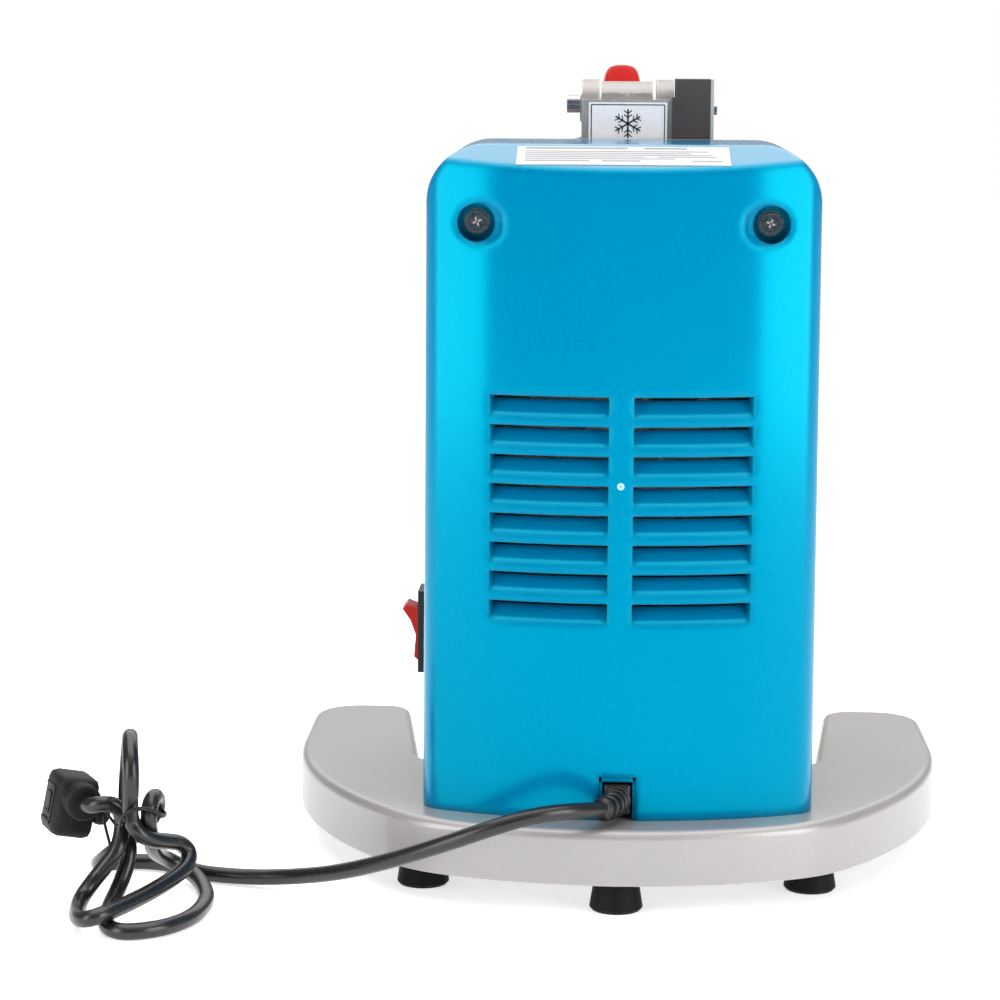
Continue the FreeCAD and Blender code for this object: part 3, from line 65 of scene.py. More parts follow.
# mains lead, in millimetres: the route of the CAD lead, then the turns of its hank, then the plug
CORD_ROUTE = [
    (7.6, 125.6, 48.9), (17.5, 135.3, 50.8), (30, 142.5, 51.4), (43, 146.5, 49.6), (58, 148.2, 44.9),
    (80, 142.5, 35.5), (104, 129, 24.2), (128, 112.5, 14), (150, 96, 7.2), (171, 88.5, 4.5), (191, 82,
        3.9),
]
HANK_ENTRY = [
    (199, 77, 3.9), (208, 69, 4), (219, 62.5, 4), (232, 62, 4.2), (240, 69, 5), (245, 80, 7.5),
    (241.5, 92, 12), (234, 101, 19.5), (225, 106.5, 27), (217, 110, 34.5), (211.5, 111.5, 42),
]
SMALL_LOOP = [
    (210.8, 114, 48.5), (211.3, 121.5, 51.5), (212.2, 129.5, 49.5), (212.6, 131.5, 42),
    (212.8, 125, 35.5), (213.4, 116, 27.5),
]
LYING_LOOP = [
    (214.2, 106, 21.5), (213.5, 95, 16.5), (210.5, 86, 12), (201.5, 84, 6.5), (193.3, 97, 4.3),
    (187.6, 119, 3.9), (187.2, 135, 3.9), (190, 154, 3.9), (198, 168.5, 3.9), (208, 176, 3.9),
    (217.5, 178.5, 3.9), (224.3, 173, 3.9), (227.8, 162, 3.9), (229.3, 145, 4.3), (227.3, 131, 9),
    (224.5, 124.5, 16.5), (223, 121, 25), (224.5, 118.5, 32),
]
TALL_LOOP = [
    (225, 117.5, 39), (226, 110.5, 49), (226, 105.5, 61), (224.6, 108, 72.5), (222.6, 117, 78.8),
    (220.8, 130, 78.8), (218.8, 140.5, 72), (218.5, 142.5, 61), (219.8, 138.5, 50.5), (220, 135, 43),
]
FRONT_LOOP = [
    (216, 136.5, 37), (210.5, 132, 33.3), (205, 123, 30.5), (200.8, 113.5, 27.5), (196.6, 111, 22.5),
    (196.8, 118, 17.5), (202.8, 130, 14.3), (211, 146, 12.3), (218.5, 163, 11.8), (225, 176, 11.6),
    (231.8, 180, 10), (238.2, 172, 7.6), (241.8, 154, 5.9), (242.4, 140, 8), (237.7, 134, 14.4),
    (231.8, 133, 21.7), (226.8, 131.5, 28),
]
PLUG_LEAD = [
    (225.3, 126, 37), (225.8, 124.5, 43.5), (228.6, 126.3, 48.3), (234.5, 129, 49.3),
    (240.6, 126.6, 47.4), (243.4, 120.6, 47),
]
CORD_RADIUS = 3.75

# strain relief: its centre line, and its radii from the housing to the end
BOOT_ROUTE = [(0, 108, 49.9), (0.8, 114.5, 49.6), (3.4, 120.4, 49.1), (7.6, 125.6, 48.9)]
BOOT_LEAD_IN = [(0, 100, 49.9), (0, 104, 49.9)]
BOOT_RADII = (5.5, 4.7)
BOOT_RIBS = 5
BOOT_RIB_RISE = 1.3
BOOT_FRONT = 98
BOOT_FLANGE_BACK = 101.5
BOOT_BLOCK_HALF = 6.3
BOOT_BLOCK_BACK = 111

# tie round the hank's bundle
TIE_RING = [
    (224.5, 136, 40), (223.5, 141, 46), (218.5, 144.2, 50.5), (212.5, 142, 51), (207.5, 136, 47),
    (206.2, 128, 43), (207, 114, 42), (216, 105.5, 42), (227, 108, 40), (229.5, 122, 38),
]
TIE_TAIL = [(229.5, 122, 38), (233.5, 120, 43), (235.2, 121, 42), (233.5, 122, 35), (231.8, 123, 29),
            (230.4, 124, 24)]
TIE_RADIUS = 0.9

# plug, in its own axes: X along its pins from the collar's free end, Z up
PLUG_SPOT = (243.4, 120.6, 47)
PLUG_TURN = -65
PLUG_ROLL = 12
PLUG_COLLAR = 9
PLUG_COLLAR_RADIUS = 8.4
PLUG_LENGTH = 24
PLUG_SIDES = (-9.5, 10.5)
PLUG_HEIGHTS = (-19, 9.5)
PLUG_CORNER = 4
PLUG_LUG = ((10, -17.5, -12), (22, -8, -1))
PLUG_RIDGES = (
    ((5, -14), (6.6, 4)), ((5, -14), (19, -12.4)), ((5, 2.4), (19, 4)),
    ((9, -10), (16, -8.8)), ((9, -1.2), (16, 0)), ((9, -10), (10.2, 0)),
)
PLUG_BLADE = (15, 1.5, 6.4)
PLUG_BLADE_SIDES = (-6.5, 2)
PLUG_BLADE_HEIGHT = -5
PLUG_EARTH_HEIGHT = -12.5
PLUG_EARTH_RADIUS = 2.3

# lever's knob, along its axis from its foot: how far it leans to the front, and its radii
KNOB_SPOT = (1, -101.5, 360.4)
KNOB_LEAN = 50
KNOB_FLAT = 0.8
KNOB_SQUARE = 0.72
KNOB_PROFILE = [
    (0, 7), (0, 9.4), (1.5, 10), (8, 10), (15, 9.7), (20, 9.3), (23.5, 8.8), (26, 7.9),
    (27.8, 6.2), (28.8, 4), (29.2, 0.8),
]

# height of the small moulding gate between the louvres
GATE_HEIGHT = 195
GATE_PROFILE = [(0, 0.3), (0.4, 0.4), (0.45, 0.8), (0.75, 1.0), (0.75, 1.4), (0.5, 1.65), (0, 1.7)]

# rating label: each row's height as a share of half the label, its thickness, and where its bars start and end
LABEL_ROWS = (
    (-0.80, 2.4, ((0.04, 0.52), (0.60, 0.80))),
    (-0.45, 0.9, ((0.04, 0.90),)),
    (-0.25, 0.9, ((0.04, 0.82),)),
    (-0.05, 0.9, ((0.04, 0.92),)),
    (0.15, 0.9, ((0.04, 0.60), (0.66, 0.94))),
    (0.35, 0.9, ((0.04, 0.74),)),
    (0.58, 1.4, ((0.04, 0.34), (0.40, 0.58), (0.82, 0.96))),
)

# notch for the strain relief: its half width, height, and the rim inside it
NOTCH_HALF = 8.4
NOTCH_RISE = 20.5
NOTCH_SIDE = 1.5
NOTCH_SUNK = 0.4
NOTCH_LINTEL = 2.6
NOTCH_DEPTHS = (106, 110.9)

# half the length of the crosses in the wells' screws
WELL_CROSS = 2.1


# ---------------------------------------------------------------- materials

def node(tree, kind, inputs=None, **settings):
    """Adds a node, with its settings and the inputs that are constants or links."""
    made = tree.nodes.new(kind)
    for key, value in settings.items():
        setattr(made, key, value)
    for key, value in (inputs or {}).items():
        if isinstance(value, bpy.types.NodeSocket):
            tree.links.new(value, made.inputs[key])
        else:
            made.inputs[key].default_value = value
    return made


def noise(tree, scale, detail=3, stretch=(1, 1, 1)):
    """Noise over the object's own coordinates, in features per metre."""
    place = node(tree, "ShaderNodeTexCoord")
    mapping = node(tree, "ShaderNodeMapping", {"Vector": place.outputs["Object"], "Scale": stretch})
    made = node(tree, "ShaderNodeTexNoise", {"Vector": mapping.outputs[0], "Scale": scale,
                                             "Detail": detail})
    return made.outputs["Fac"]


def spread(tree, value, low, high, start=0.3, end=0.7):
    """Maps a value from start..end to low..high."""
    made = node(tree, "ShaderNodeMapRange", {
        "Value": value, "From Min": start, "From Max": end, "To Min": low, "To Max": high,
    })
    return made.outputs[0]


def blend(tree, factor, one, other):
    """Mixes two colours or colour sockets."""
    made = node(tree, "ShaderNodeMix", {"Factor": factor}, data_type="RGBA")
    for socket, value in ((made.inputs[6], one), (made.inputs[7], other)):
        if isinstance(value, bpy.types.NodeSocket):
            tree.links.new(value, socket)
        else:
            socket.default_value = (*value, 1)
    return made.outputs[2]


def edges(tree, radius, share):
    """One on a rounded edge of about that radius in metres, and zero on flats."""
    rounded = node(tree, "ShaderNodeBevel", {"Radius": radius}, samples=4)
    flat = node(tree, "ShaderNodeNewGeometry")
    both = node(tree, "ShaderNodeVectorMath", {0: rounded.outputs[0], 1: flat.outputs["Normal"]},
                operation="DOT_PRODUCT")
    return spread(tree, both.outputs["Value"], share, 0, 0.8, 0.985)


def surface(name, dark, light, rough, grain=900, rise=0.02, mottle=25, worn=None, wear=0.5,
            metal=0.0, coat=0.0, stretch=(1, 1, 1), specular=0.5, tint=(1, 1, 1), soften=0):
    """A finish with broad colour variation, fine grain in bump and roughness, and worn edges."""
    material = bpy.data.materials.new(name)
    material.use_nodes = True
    tree = material.node_tree
    shader = tree.nodes["Principled BSDF"]
    shader.inputs["Metallic"].default_value = metal
    shader.inputs["Coat Weight"].default_value = coat
    shader.inputs["Coat Roughness"].default_value = 0.06
    shader.inputs["Specular IOR Level"].default_value = specular
    shader.inputs["Specular Tint"].default_value = (*tint, 1)
    broad = noise(tree, mottle, 4, stretch)
    fine = noise(tree, grain, 2, stretch)
    mixed = node(tree, "ShaderNodeMath", {0: broad, 1: fine}, operation="ADD")
    half = node(tree, "ShaderNodeMath", {0: mixed.outputs[0], 1: 0.5}, operation="MULTIPLY")
    colour = blend(tree, spread(tree, half.outputs[0], 0, 1, 0.34, 0.66), dark, light)
    if worn:
        patchy = spread(tree, noise(tree, mottle * 8), 0, 1, 0.35, 0.6)
        rubbed = node(tree, "ShaderNodeMath", {0: edges(tree, 0.0012, wear), 1: patchy},
                      operation="MULTIPLY")
        colour = blend(tree, rubbed.outputs[0], colour, worn)
    tree.links.new(colour, shader.inputs["Base Color"])
    tree.links.new(spread(tree, half.outputs[0], rough[0], rough[1], 0.38, 0.62),
                   shader.inputs["Roughness"])
    bump = node(tree, "ShaderNodeBump", {"Height": fine, "Strength": 0.6, "Distance": rise * MM})
    if soften:
        eased = node(tree, "ShaderNodeBevel", {"Radius": soften * MM}, samples=6)
        tree.links.new(eased.outputs[0], bump.inputs["Normal"])
    tree.links.new(bump.outputs[0], shader.inputs["Normal"])
    return material


def finishes():
    """Every finish by the name of its material slot."""
    return {
        "base_paint": surface("base_paint", (0.30, 0.286, 0.282), (0.36, 0.345, 0.34), (0.30, 0.42),
                              grain=1500,
                              rise=0.05, mottle=12, worn=(0.66, 0.65, 0.64), wear=0.3, metal=0.35,
                              coat=0.1),
        "cover_plastic": surface("cover_plastic", (0.0, 0.140, 0.292), (0.0, 0.164, 0.335), (0.12, 0.18),
                                 grain=700, rise=0.003, mottle=9, worn=(0.03, 0.42, 0.62), wear=0.3,
                                 specular=1.0, tint=(0.0, 0.92, 1.0), soften=5),
        "frame_paint": surface("frame_paint", (0.42, 0.41, 0.40), (0.50, 0.49, 0.48), (0.28, 0.45),
                               grain=1100,
                               rise=0.04, worn=(0.66, 0.64, 0.62), wear=0.4, metal=0.3),
        "cast_alloy": surface("cast_alloy", (0.27, 0.255, 0.246), (0.35, 0.334, 0.322), (0.38, 0.52),
                              grain=800,
                              rise=0.12, mottle=60, worn=(0.70, 0.68, 0.66), wear=0.6, metal=0.55),
        "steel": surface("steel", (0.47, 0.46, 0.45), (0.53, 0.52, 0.51), (0.24, 0.36), grain=700,
                         rise=0.012,
                         worn=(0.74, 0.73, 0.72), wear=0.4, metal=1.0, stretch=(1, 1, 4)),
        "plated": surface("plated", (0.26, 0.26, 0.27), (0.42, 0.42, 0.43), (0.14, 0.30), grain=900,
                          rise=0.01,
                          worn=(0.80, 0.80, 0.80), wear=0.5, metal=1.0),
        "foot_rubber": surface("foot_rubber", (0.005, 0.005, 0.005), (0.010, 0.009, 0.009), (0.45, 0.62),
                               grain=1500, rise=0.05, worn=(0.05, 0.048, 0.048), wear=0.5, specular=0.1),
        "cord_rubber": surface("cord_rubber", (0.004, 0.0035, 0.004), (0.011, 0.0085, 0.0095), (0.22,
            0.34),
                               grain=1600, rise=0.02, mottle=60, worn=(0.05, 0.045, 0.045), wear=0.4),
        "black_plastic": surface("black_plastic", (0.006, 0.007, 0.009), (0.014, 0.016, 0.019), (0.32,
            0.48),
                                 grain=1400, rise=0.02, worn=(0.06, 0.06, 0.07), wear=0.5, specular=0.25),
        "dark_plastic": surface("dark_plastic", (0.038, 0.031, 0.030), (0.058, 0.048, 0.046), (0.40,
            0.56),
                                grain=1200, rise=0.05, worn=(0.16, 0.15, 0.14), wear=0.5, specular=0.4),
        "red_grip": surface("red_grip", (0.34, 0.004, 0.003), (0.44, 0.008, 0.005), (0.10, 0.18),
                            grain=500,
                            rise=0.003, mottle=40, worn=(0.70, 0.08, 0.06), wear=0.3, specular=0.03),
        "red_rocker": surface("red_rocker", (0.36, 0.012, 0.008), (0.50, 0.024, 0.016), (0.24, 0.36),
                              grain=900,
                              rise=0.01, worn=(0.62, 0.24, 0.20), wear=0.4, specular=0.1),
        "label_film": surface("label_film", (0.46, 0.455, 0.475), (0.53, 0.525, 0.545), (0.26, 0.40),
                              grain=1200,
                              rise=0.01, worn=(0.44, 0.43, 0.44), wear=0.4),
        "copper": surface("copper", (0.52, 0.20, 0.09), (0.72, 0.31, 0.15), (0.22, 0.42), grain=700,
                          rise=0.08,
                          worn=(0.85, 0.50, 0.32), wear=0.5, metal=1.0, stretch=(1, 6, 1)),
        "core_steel": surface("core_steel", (0.20, 0.20, 0.21), (0.32, 0.32, 0.33), (0.32, 0.52),
                              grain=900,
                              rise=0.05, worn=(0.55, 0.54, 0.53), wear=0.5, metal=0.9, stretch=(1, 12,
                                  1)),
        "white_plastic": surface("white_plastic", (0.60, 0.59, 0.56), (0.72, 0.71, 0.68), (0.30, 0.46),
                                 grain=1000, rise=0.015, worn=(0.46, 0.45, 0.43), wear=0.4),
        "brass": surface("brass", (0.50, 0.36, 0.14), (0.66, 0.50, 0.22), (0.20, 0.38), grain=800,
                         rise=0.01,
                         worn=(0.82, 0.68, 0.38), wear=0.5, metal=1.0),
    }


def print_inks():
    """Printed inks, and the screws in the cover's wells, coloured a dark bluish black that is painted shade of
    the wells.
    """
    return {
        "print_black": surface("print_black", (0.012, 0.012, 0.014), (0.03, 0.03, 0.034), (0.34, 0.50),
                               grain=1800,
                               rise=0.01),
        "print_grey": surface("print_grey", (0.16, 0.16, 0.17), (0.26, 0.26, 0.27), (0.34, 0.50),
                              grain=1800,
                              rise=0.01),
        "gate_plastic": surface("gate_plastic", (0.30, 0.62, 0.72), (0.42, 0.72, 0.80), (0.20, 0.34),
                                grain=1500,
                                rise=0.01),
        "plate_film": surface("plate_film", (0.68, 0.67, 0.69), (0.76, 0.75, 0.77), (0.26, 0.40),
                              grain=1200,
                              rise=0.01, worn=(0.5, 0.5, 0.5), wear=0.4),
        "lead_jacket": surface("lead_jacket", (0.006, 0.005, 0.006), (0.013, 0.0105, 0.0115), (0.25,
            0.31), grain=1800,
                               rise=0.008, mottle=25),
        "plug_rubber": surface("plug_rubber", (0.006, 0.0055, 0.006), (0.012, 0.011, 0.011), (0.46, 0.60),
                               grain=1400, rise=0.04, worn=(0.05, 0.045, 0.045), wear=0.4, specular=0.2),
        # screws in the wells: their dark bluish colour is painted shade of the wells, their lighter worn edges
        # are wear
        "shaded_well_screw": surface("shaded_well_screw", (0.025, 0.045, 0.06), (0.07, 0.10, 0.12), (0.24, 0.40),
                              grain=1200,
                              rise=0.02, mottle=200, worn=(0.40, 0.41, 0.42), wear=0.6, metal=0.9),
    }


def floor_finish():
    """Pale studio floor."""
    material = surface("studio_floor", (0.86, 0.86, 0.86), (0.90, 0.90, 0.90), (0.65, 0.80), grain=60,
                       rise=0.02,
                       mottle=1.5)
    shader = material.node_tree.nodes["Principled BSDF"]
    shader.inputs["Emission Color"].default_value = (1, 1, 1, 1)
    shader.inputs["Emission Strength"].default_value = 0.6
    return material


# ---------------------------------------------------------------- shapes

def place_piece(name, data, material, body="machine"):
    """Links a piece, gives it its finish and its slot, and lets it ride on its body."""
    piece = bpy.data.objects.new(name, data)
    bpy.context.scene.collection.objects.link(piece)
    data.materials.append(material)
    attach(piece, body)
    return piece


def mesh_of(name, made, smooth=True):
    """A mesh from a bmesh, in millimetres, with its faces turned outwards."""
    bmesh.ops.recalc_face_normals(made, faces=made.faces)
    bmesh.ops.scale(made, vec=(MM, MM, MM), verts=made.verts)
    for face in made.faces:
        face.smooth = smooth
    data = bpy.data.meshes.new(name)
    made.to_mesh(data)
    made.free()
    return data


def skin(made, rings, closed_ends=True):
    """Joins rings of points into a tube."""
    loops = [[made.verts.new(point) for point in ring] for ring in rings]
    for one, other in zip(loops, loops[1:]):
        for i in range(len(one)):
            j = (i + 1) % len(one)
            made.faces.new((one[i], one[j], other[j], other[i]))
    if closed_ends:
        made.faces.new(loops[0])
        made.faces.new(loops[-1])


def lathe(made, profile, place, steps=48):
    """Turns a profile of (along, radius) about the X axis of a placement."""
    turns = [2 * pi * i / steps for i in range(steps)]
    skin(made, [[place @ Vector((x, r * cos(a), r * sin(a))) for a in turns] for x, r in profile])


def rounded_block(made, low, high, corner, place, segments=4):
    """A block between two corners with rounded edges, in a placement."""
    block = bmesh.new()
    bmesh.ops.create_cube(block, size=1)
    size = [b - a for a, b in zip(low, high)]
    middle = [(a + b) / 2 for a, b in zip(low, high)]
    bmesh.ops.scale(block, vec=size, verts=block.verts)
    bmesh.ops.translate(block, vec=middle, verts=block.verts)
    bmesh.ops.bevel(block, geom=block.edges[:], offset=corner, segments=segments, profile=0.5,
                    affect="EDGES")
    bmesh.ops.transform(block, matrix=place, verts=block.verts)
    passed = bpy.data.meshes.new("block")
    block.to_mesh(passed)
    block.free()
    made.from_mesh(passed)
    bpy.data.meshes.remove(passed)


def spline_curve(name, points, radius, cyclic=False):
    """A smooth NURBS curve through soft corners, with a round section, from points in millimetres."""
    curve = bpy.data.curves.new(name, "CURVE")
    curve.dimensions = "3D"
    curve.resolution_u = 8
    curve.bevel_depth = radius * MM
    curve.bevel_resolution = 6
    curve.use_fill_caps = True
    spline = curve.splines.new("NURBS")
    spline.points.add(len(points) - 1)
    for point, (x, y, z) in zip(spline.points, points):
        point.co = (x * MM, y * MM, z * MM, 1)
    spline.order_u = 3
    spline.use_endpoint_u = not cyclic
    spline.use_cyclic_u = cyclic
    return curve


def followed(points):
    """Points read from the route's NURBS spline, in millimetres."""
    curve = spline_curve("route_line", points, 0)
    line = bpy.data.objects.new("route_line", curve)
    bpy.context.scene.collection.objects.link(line)
    read = bpy.data.meshes.new_from_object(line)
    found = [vert.co / MM for vert in read.vertices]
    bpy.data.objects.remove(line)
    bpy.data.meshes.remove(read)
    return found


def swept(made, line, radii, steps=32):
    """A round tube of changing radius along a line of points."""
    rings = []
    for i, (point, radius) in enumerate(zip(line, radii)):
        ahead = line[min(i + 1, len(line) - 1)] - line[max(i - 1, 0)]
        side = ahead.cross(Vector((0, 0, 1))).normalized()
        rise = side.cross(ahead).normalized()
        turns = [2 * pi * k / steps for k in range(steps)]
        rings.append([point + (side * cos(a) + rise * sin(a)) * radius for a in turns])
    skin(made, rings)


# ---------------------------------------------------------------- camera, light, floor

def make_camera():
    """The camera behind the machine, a little above its top."""
    yaw, tilt, roll = radians(CAMERA_YAW), radians(CAMERA_TILT), radians(CAMERA_ROLL)
    ahead = Vector((sin(yaw) * cos(tilt), -cos(yaw) * cos(tilt), -sin(tilt)))
    level = ahead.cross(Vector((0, 0, 1))).normalized()
    upright = level.cross(ahead)
    right = level * cos(roll) + upright * sin(roll)
    up = upright * cos(roll) - level * sin(roll)
    data = bpy.data.cameras.new("camera")
    data.lens = CAMERA_LENS
    data.sensor_width = 36
    camera = bpy.data.objects.new("camera", data)
    turn = Matrix((right, up, -ahead)).transposed().to_4x4()
    camera.matrix_world = Matrix.Translation(CAMERA_SPOT) @ turn
    bpy.context.scene.collection.objects.link(camera)
    bpy.context.scene.camera = camera


def softbox(name, spot, target, width, height, power):
    """A rectangular soft light at a spot, facing a target."""
    data = bpy.data.lights.new(name, "AREA")
    data.shape = "RECTANGLE"
    data.size = width
    data.size_y = height
    data.energy = power
    light = bpy.data.objects.new(name, data)
    way = Vector(target) - Vector(spot)
    light.rotation_euler = way.to_track_quat("-Z", "Y").to_euler()
    light.location = spot
    bpy.context.scene.collection.objects.link(light)


def make_light():
    """A broad soft sun from above, softboxes at both sides, and a pale room."""
    data = bpy.data.lights.new("sky_panel", "SUN")
    data.energy = SUN_POWER
    data.angle = radians(SUN_SPREAD)
    sun = bpy.data.objects.new("sky_panel", data)
    sun.rotation_euler = (radians(-12), radians(-4), 0)
    bpy.context.scene.collection.objects.link(sun)
    for box in SOFTBOXES:
        softbox(*box)
    world = bpy.data.worlds.new("studio")
    bpy.context.scene.world = world
    world.use_nodes = True
    tree = world.node_tree
    tree.nodes["Background"].inputs["Color"].default_value = (1, 1, 1, 1)
    seen = node(tree, "ShaderNodeLightPath").outputs["Is Camera Ray"]
    strength = spread(tree, seen, 0.28, 1.0, 0, 1)
    tree.links.new(strength, tree.nodes["Background"].inputs["Strength"])


def make_floor():
    """A wide pale floor under the feet."""
    made = bmesh.new()
    turns = [2 * pi * i / 64 for i in range(64)]
    made.faces.new([made.verts.new((FLOOR_REACH * cos(a), FLOOR_REACH * sin(a), 0)) for a in turns])
    floor = bpy.data.objects.new("studio_floor", mesh_of("studio_floor", made))
    floor.data.materials.append(floor_finish())
    bpy.context.scene.collection.objects.link(floor)


# ---------------------------------------------------------------- mains lead

def make_plug(materials):
    """A moulded plug with a ringed collar, a thumb ridge on its side, and three pins."""
    turn = Matrix.Rotation(radians(PLUG_TURN), 4, "Z") @ Matrix.Rotation(radians(PLUG_ROLL), 4, "X")
    place = Matrix.Translation(PLUG_SPOT) @ turn
    start, end = PLUG_COLLAR, PLUG_COLLAR + PLUG_LENGTH
    right, left = PLUG_SIDES
    bottom, top = PLUG_HEIGHTS
    made = bmesh.new()
    rounded_block(made, (start, right, bottom), (end, left, top), PLUG_CORNER, place, 2)
    rounded_block(made, *PLUG_LUG, 4.5, place, 5)
    for low, high in PLUG_RIDGES:
        rounded_block(made, (start + low[0], left - 0.3, low[1]), (start + high[0], left + 0.7, high[1]),
                      0.3, place, 2)
    body = place_piece("plug_moulding", mesh_of("plug_moulding", made), materials["plug_rubber"])
    made = bmesh.new()
    steps = [(0, 4.6), (0, PLUG_COLLAR_RADIUS - 1), (0.6, PLUG_COLLAR_RADIUS - 0.3)]
    for ring in range(3):
        x = 1.0 + ring * 2.7
        steps += [(x, PLUG_COLLAR_RADIUS), (x + 1.5, PLUG_COLLAR_RADIUS), (x + 1.8,
            PLUG_COLLAR_RADIUS - 1.3),
                  (x + 2.4, PLUG_COLLAR_RADIUS - 1.3)]
    steps += [(start + 0.5, PLUG_COLLAR_RADIUS)]
    lathe(made, steps, place)
    collar = place_piece("plug_collar", mesh_of("plug_collar", made, False), materials["plug_rubber"])
    bevel = collar.modifiers.new("soft_edges", "BEVEL")
    bevel.width = 0.25 * MM
    bevel.segments = 2
    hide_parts("plug_body")
    long, thick, tall = PLUG_BLADE
    made = bmesh.new()
    for side in PLUG_BLADE_SIDES:
        rounded_block(made, (end - 1, side - thick / 2, PLUG_BLADE_HEIGHT), (end + long, side + thick / 2,
                      PLUG_BLADE_HEIGHT + tall), 0.4, place, 2)
    radius = PLUG_EARTH_RADIUS
    lathe(made, [(end - 1, radius), (end + long, radius), (end + long + 1.4, radius - 0.7),
                 (end + long + 2, radius - 1.7)], place @ Matrix.Translation((0, 0, PLUG_EARTH_HEIGHT)),
          24)
    pins = place_piece("plug_contacts", mesh_of("plug_contacts", made), materials["brass"])
    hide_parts("plug_pins")
    return body, collar, pins


def make_boot(materials):
    """The strain relief: a block in the housing's notch, then a ribbed tapering sleeve."""
    route = followed(BOOT_ROUTE)
    line = [Vector(point) for point in BOOT_LEAD_IN] + route
    wide, slim = BOOT_RADII
    made = bmesh.new()
    swept(made, line, [wide + (slim - wide) * (i / (len(line) - 1)) for i in range(len(line))])
    last = len(route) - 1
    for rib in range(BOOT_RIBS):
        at = min(round(last * (rib + 0.6) / BOOT_RIBS), last)
        way = route[min(at + 1, last)] - route[max(at - 1, 0)]
        place = Matrix.Translation(route[at]) @ way.to_track_quat("X", "Z").to_matrix().to_4x4()
        share = rib / (BOOT_RIBS - 1)
        radius = wide + (slim - wide) * share + BOOT_RIB_RISE * (1 - share * 0.2)
        half = [(0.4, 0), (0.8, 0.2), (1.1, 0.9)]
        profile = [(-x, radius - drop) for x, drop in reversed(half)] + [(x, radius - drop) for x,
            drop in half]
        lathe(made, profile, place, 40)
    low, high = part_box("cord_boot")
    side, bottom, top = low.x / MM, low.z / MM, high.z / MM
    flat = Matrix.Identity(4)
    rounded_block(made, (side, BOOT_FRONT, bottom), (-side, BOOT_FLANGE_BACK, top), 1.2, flat, 3)
    rounded_block(made, (-BOOT_BLOCK_HALF, BOOT_FRONT, bottom + 2),
                  (BOOT_BLOCK_HALF, BOOT_BLOCK_BACK, bottom + 16.6), 1.4, flat, 3)
    boot = place_piece("strain_relief", mesh_of("strain_relief", made), materials["cord_rubber"])
    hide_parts("cord_boot")
    return boot


def make_cord(materials):
    """The whole mains lead on one smooth line, its tie, strain relief and plug."""
    route = CORD_ROUTE + HANK_ENTRY + SMALL_LOOP + LYING_LOOP + TALL_LOOP + FRONT_LOOP + PLUG_LEAD
    curve = spline_curve("mains_lead", route, CORD_RADIUS)
    lead = place_piece("mains_lead", curve, materials["lead_jacket"])
    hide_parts("cord_tube", "cord_hank")
    ring = place_piece("tie_ring", spline_curve("tie_ring", TIE_RING, TIE_RADIUS, True),
                       materials["black_plastic"])
    tail = place_piece("tie_tail", spline_curve("tie_tail", TIE_TAIL, TIE_RADIUS * 0.8),
                       materials["black_plastic"])
    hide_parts("cord_tie")
    boot = make_boot(materials)
    plug = make_plug(materials)


# ---------------------------------------------------------------- small parts

def strip(made, one, other, width, thick, place):
    """A thin straight bar between two points of a plane, standing proud of it."""
    one, other = Vector(one), Vector(other)
    way = other - one
    turn = Matrix.Rotation(Vector((1, 0)).angle_signed(way) * -1, 4, "Z")
    spot = Matrix.Translation((one.x, one.y, 0))
    rounded_block(made, (0, -width / 2, 0), (way.length, width / 2, thick), thick * 0.3,
                  place @ spot @ turn, 1)


def make_nameplate(materials):
    """A thin black frame and a six-armed snowflake on the nameplate, in place of its lettering."""
    low, high = (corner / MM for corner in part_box("nameplate"))
    wide, tall = high.x - low.x, high.z - low.z
    middle = ((low.x + high.x) / 2, high.y, (low.z + high.z) / 2)
    turn = Matrix(((-1, 0, 0), (0, 0, 1), (0, 1, 0))).to_4x4()
    place = Matrix.Translation(middle) @ turn
    x, y = wide / 2 - 1.3, tall / 2 - 1.2
    made = bmesh.new()
    corners = [(-x, -y), (x, -y), (x, y), (-x, y)]
    for one, other in zip(corners, corners[1:] + corners[:1]):
        strip(made, one, other, 0.5, 0.12, place)
    reach = tall * 0.34
    for arm in range(6):
        turned = pi * arm / 3 + pi / 6
        way = Vector((cos(turned), sin(turned)))
        strip(made, (0, 0), way * reach, 0.8, 0.12, place)
        for side in (-1, 1):
            bent = turned + side * pi / 3.4
            fork = Vector((cos(bent), sin(bent))) * reach * 0.34
            for share in (0.42, 0.70):
                strip(made, way * reach * share, way * reach * share + fork, 0.55, 0.12, place)
    place_piece("nameplate_print", mesh_of("nameplate_print", made, False), materials["print_black"])


def make_label(materials):
    """Plain grey bars on the rating label, in place of its lettering."""
    low, high = (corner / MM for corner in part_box("rating_label"))
    face = max(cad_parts["rating_label"].data.polygons, key=lambda part: part.normal.z * part.area)
    across = Vector((-1, 0, 0))
    down = across.cross(face.normal)
    down = down if down.z < 0 else -down
    out = across.cross(down)
    turn = Matrix((across, down, out)).transposed().to_4x4()
    slope = face.normal
    centre = Vector(((low.x + high.x) / 2, (low.y + high.y) / 2, 0))
    centre.z = face.center.z / MM - (slope.y * (centre.y - face.center.y / MM)) / slope.z
    side = 1 if out.z > 0 else -1
    place = Matrix.Translation(centre) @ turn @ Matrix.Diagonal((1, 1, side, 1))
    half_wide, half_long = (high.x - low.x) / 2, (high.y - low.y) / 2 / slope.z
    made = bmesh.new()
    for row, width, bars in LABEL_ROWS:
        for start, end in bars:
            one = (half_wide * (2 * start - 1), half_long * row)
            other = (half_wide * (2 * end - 1), half_long * row)
            strip(made, one, other, width, 0.10, place)
    place_piece("label_print", mesh_of("label_print", made, False), materials["print_grey"])


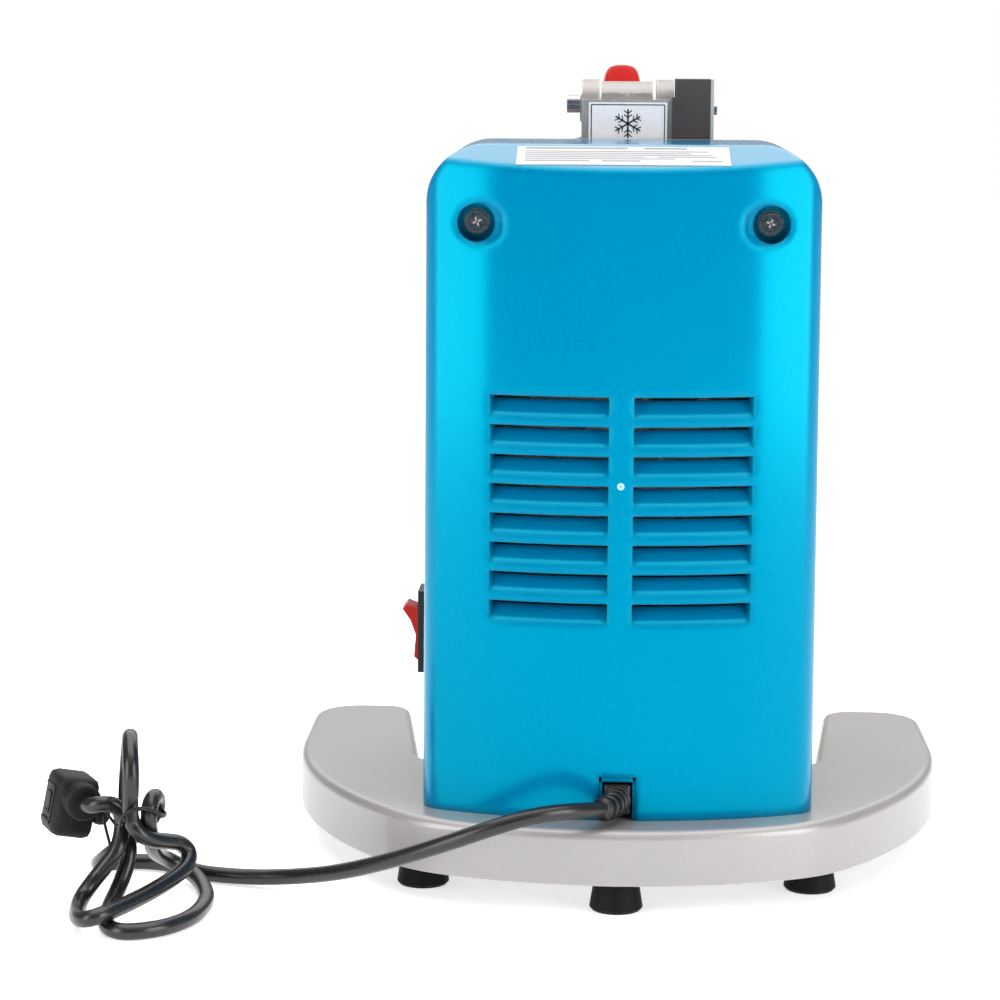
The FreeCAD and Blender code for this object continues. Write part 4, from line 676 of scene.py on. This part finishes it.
def make_notch_frame(materials):
    """The recessed blue rim of the notch that the strain relief stands in."""
    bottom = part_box("rear_cover")[0].z / MM
    top = bottom + NOTCH_RISE + NOTCH_SUNK
    front, back = NOTCH_DEPTHS
    made = bmesh.new()
    flat = Matrix.Identity(4)
    for side in (-1, 1):
        outer, inner = (NOTCH_HALF + NOTCH_SUNK) * side, (NOTCH_HALF - NOTCH_SIDE) * side
        low, high = sorted((outer, inner))
        rounded_block(made, (low, front, bottom + 0.3), (high, back, top), 0.3, flat, 2)
    wide = NOTCH_HALF + NOTCH_SUNK
    rounded_block(made, (-wide, front, bottom + NOTCH_RISE - NOTCH_LINTEL), (wide, back, top), 0.3, flat,
                  2)
    place_piece("notch_frame", mesh_of("notch_frame", made), materials["cover_plastic"])


def make_well_crosses(materials):
    """The bright cross of each screw at the bottom of the cover's wells."""
    low, high = (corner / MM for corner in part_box("cover_screws"))
    across = (high.z - low.z) / 2
    made = bmesh.new()
    for side in (-1, 1):
        centre = ((high.x - across) * side, high.y, (low.z + high.z) / 2)
        turn = Matrix(((-1, 0, 0), (0, 0, 1), (0, 1, 0))).to_4x4() @ Matrix.Rotation(radians(20 * side),
            4, "Z")
        place = Matrix.Translation(centre) @ turn
        strip(made, (-WELL_CROSS, 0), (WELL_CROSS, 0), 1.0, 0.16, place)
        strip(made, (0, -WELL_CROSS), (0, WELL_CROSS), 1.0, 0.16, place)
    place_piece("well_crosses", mesh_of("well_crosses", made, False), materials["steel"])


def make_gate_ring(materials):
    """The moulding gate's small white ring on the centre line between the louvres."""
    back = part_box("rear_cover")[1].y / MM
    place = Matrix.Translation((0, back - 0.35, GATE_HEIGHT)) @ Matrix.Rotation(pi / 2, 4, "Z")
    made = bmesh.new()
    lathe(made, GATE_PROFILE, place, 32)
    place_piece("gate_ring", mesh_of("gate_ring", made), materials["gate_plastic"])


def make_knob(materials):
    """The lever's glossy red knob, on the CAD grip's leaning axis."""
    turn = Matrix.Rotation(radians(KNOB_LEAN), 4, "X") @ Matrix.Rotation(-pi / 2, 4, "Y")
    place = Matrix.Translation(KNOB_SPOT) @ turn
    rings = []
    for x, radius in KNOB_PROFILE:
        ring = []
        for step in range(64):
            turned = 2 * pi * step / 64
            y = copysign(abs(cos(turned)) ** KNOB_SQUARE, cos(turned)) * radius * KNOB_FLAT
            z = copysign(abs(sin(turned)) ** KNOB_SQUARE, sin(turned)) * radius
            ring.append(place @ Vector((x, y, z)))
        rings.append(ring)
    made = bmesh.new()
    skin(made, rings)
    knob = place_piece("lever_knob", mesh_of("lever_knob", made), materials["red_grip"],
                       "lever")
    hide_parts("lever_grip")


# ---------------------------------------------------------------- finish

def paint_nodes(materials):
    """Gives every carried-over CAD node the finish of its own material slot."""
    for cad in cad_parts.values():
        for slot in cad.material_slots:
            key = slot.material.name.removeprefix("cad.")
            slot.material = materials[key]
    # the wells' screws take the dark colour of painted shade, the nameplate its pale film
    for name, key in (("cover_screws", "shaded_well_screw"), ("nameplate", "plate_film")):
        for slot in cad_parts[name].material_slots:
            slot.material = materials[key]


def finishes_over(nodes):
    """Sets the imported materials' names aside, so that the finishes can have the slots' names."""
    for cad in nodes.values():
        for slot in cad.material_slots:
            if slot.material and not slot.material.name.startswith("cad."):
                slot.material.name = "cad." + slot.material.name
    return finishes()


def main():
    make_camera()
    materials = finishes_over(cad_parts)
    materials.update(print_inks())
    make_cord(materials)
    make_nameplate(materials)
    make_label(materials)
    make_notch_frame(materials)
    make_well_crosses(materials)
    make_gate_ring(materials)
    make_knob(materials)
    paint_nodes(materials)
    make_light()
    make_floor()
    bpy.context.scene.view_settings.view_transform = "Standard"


main()
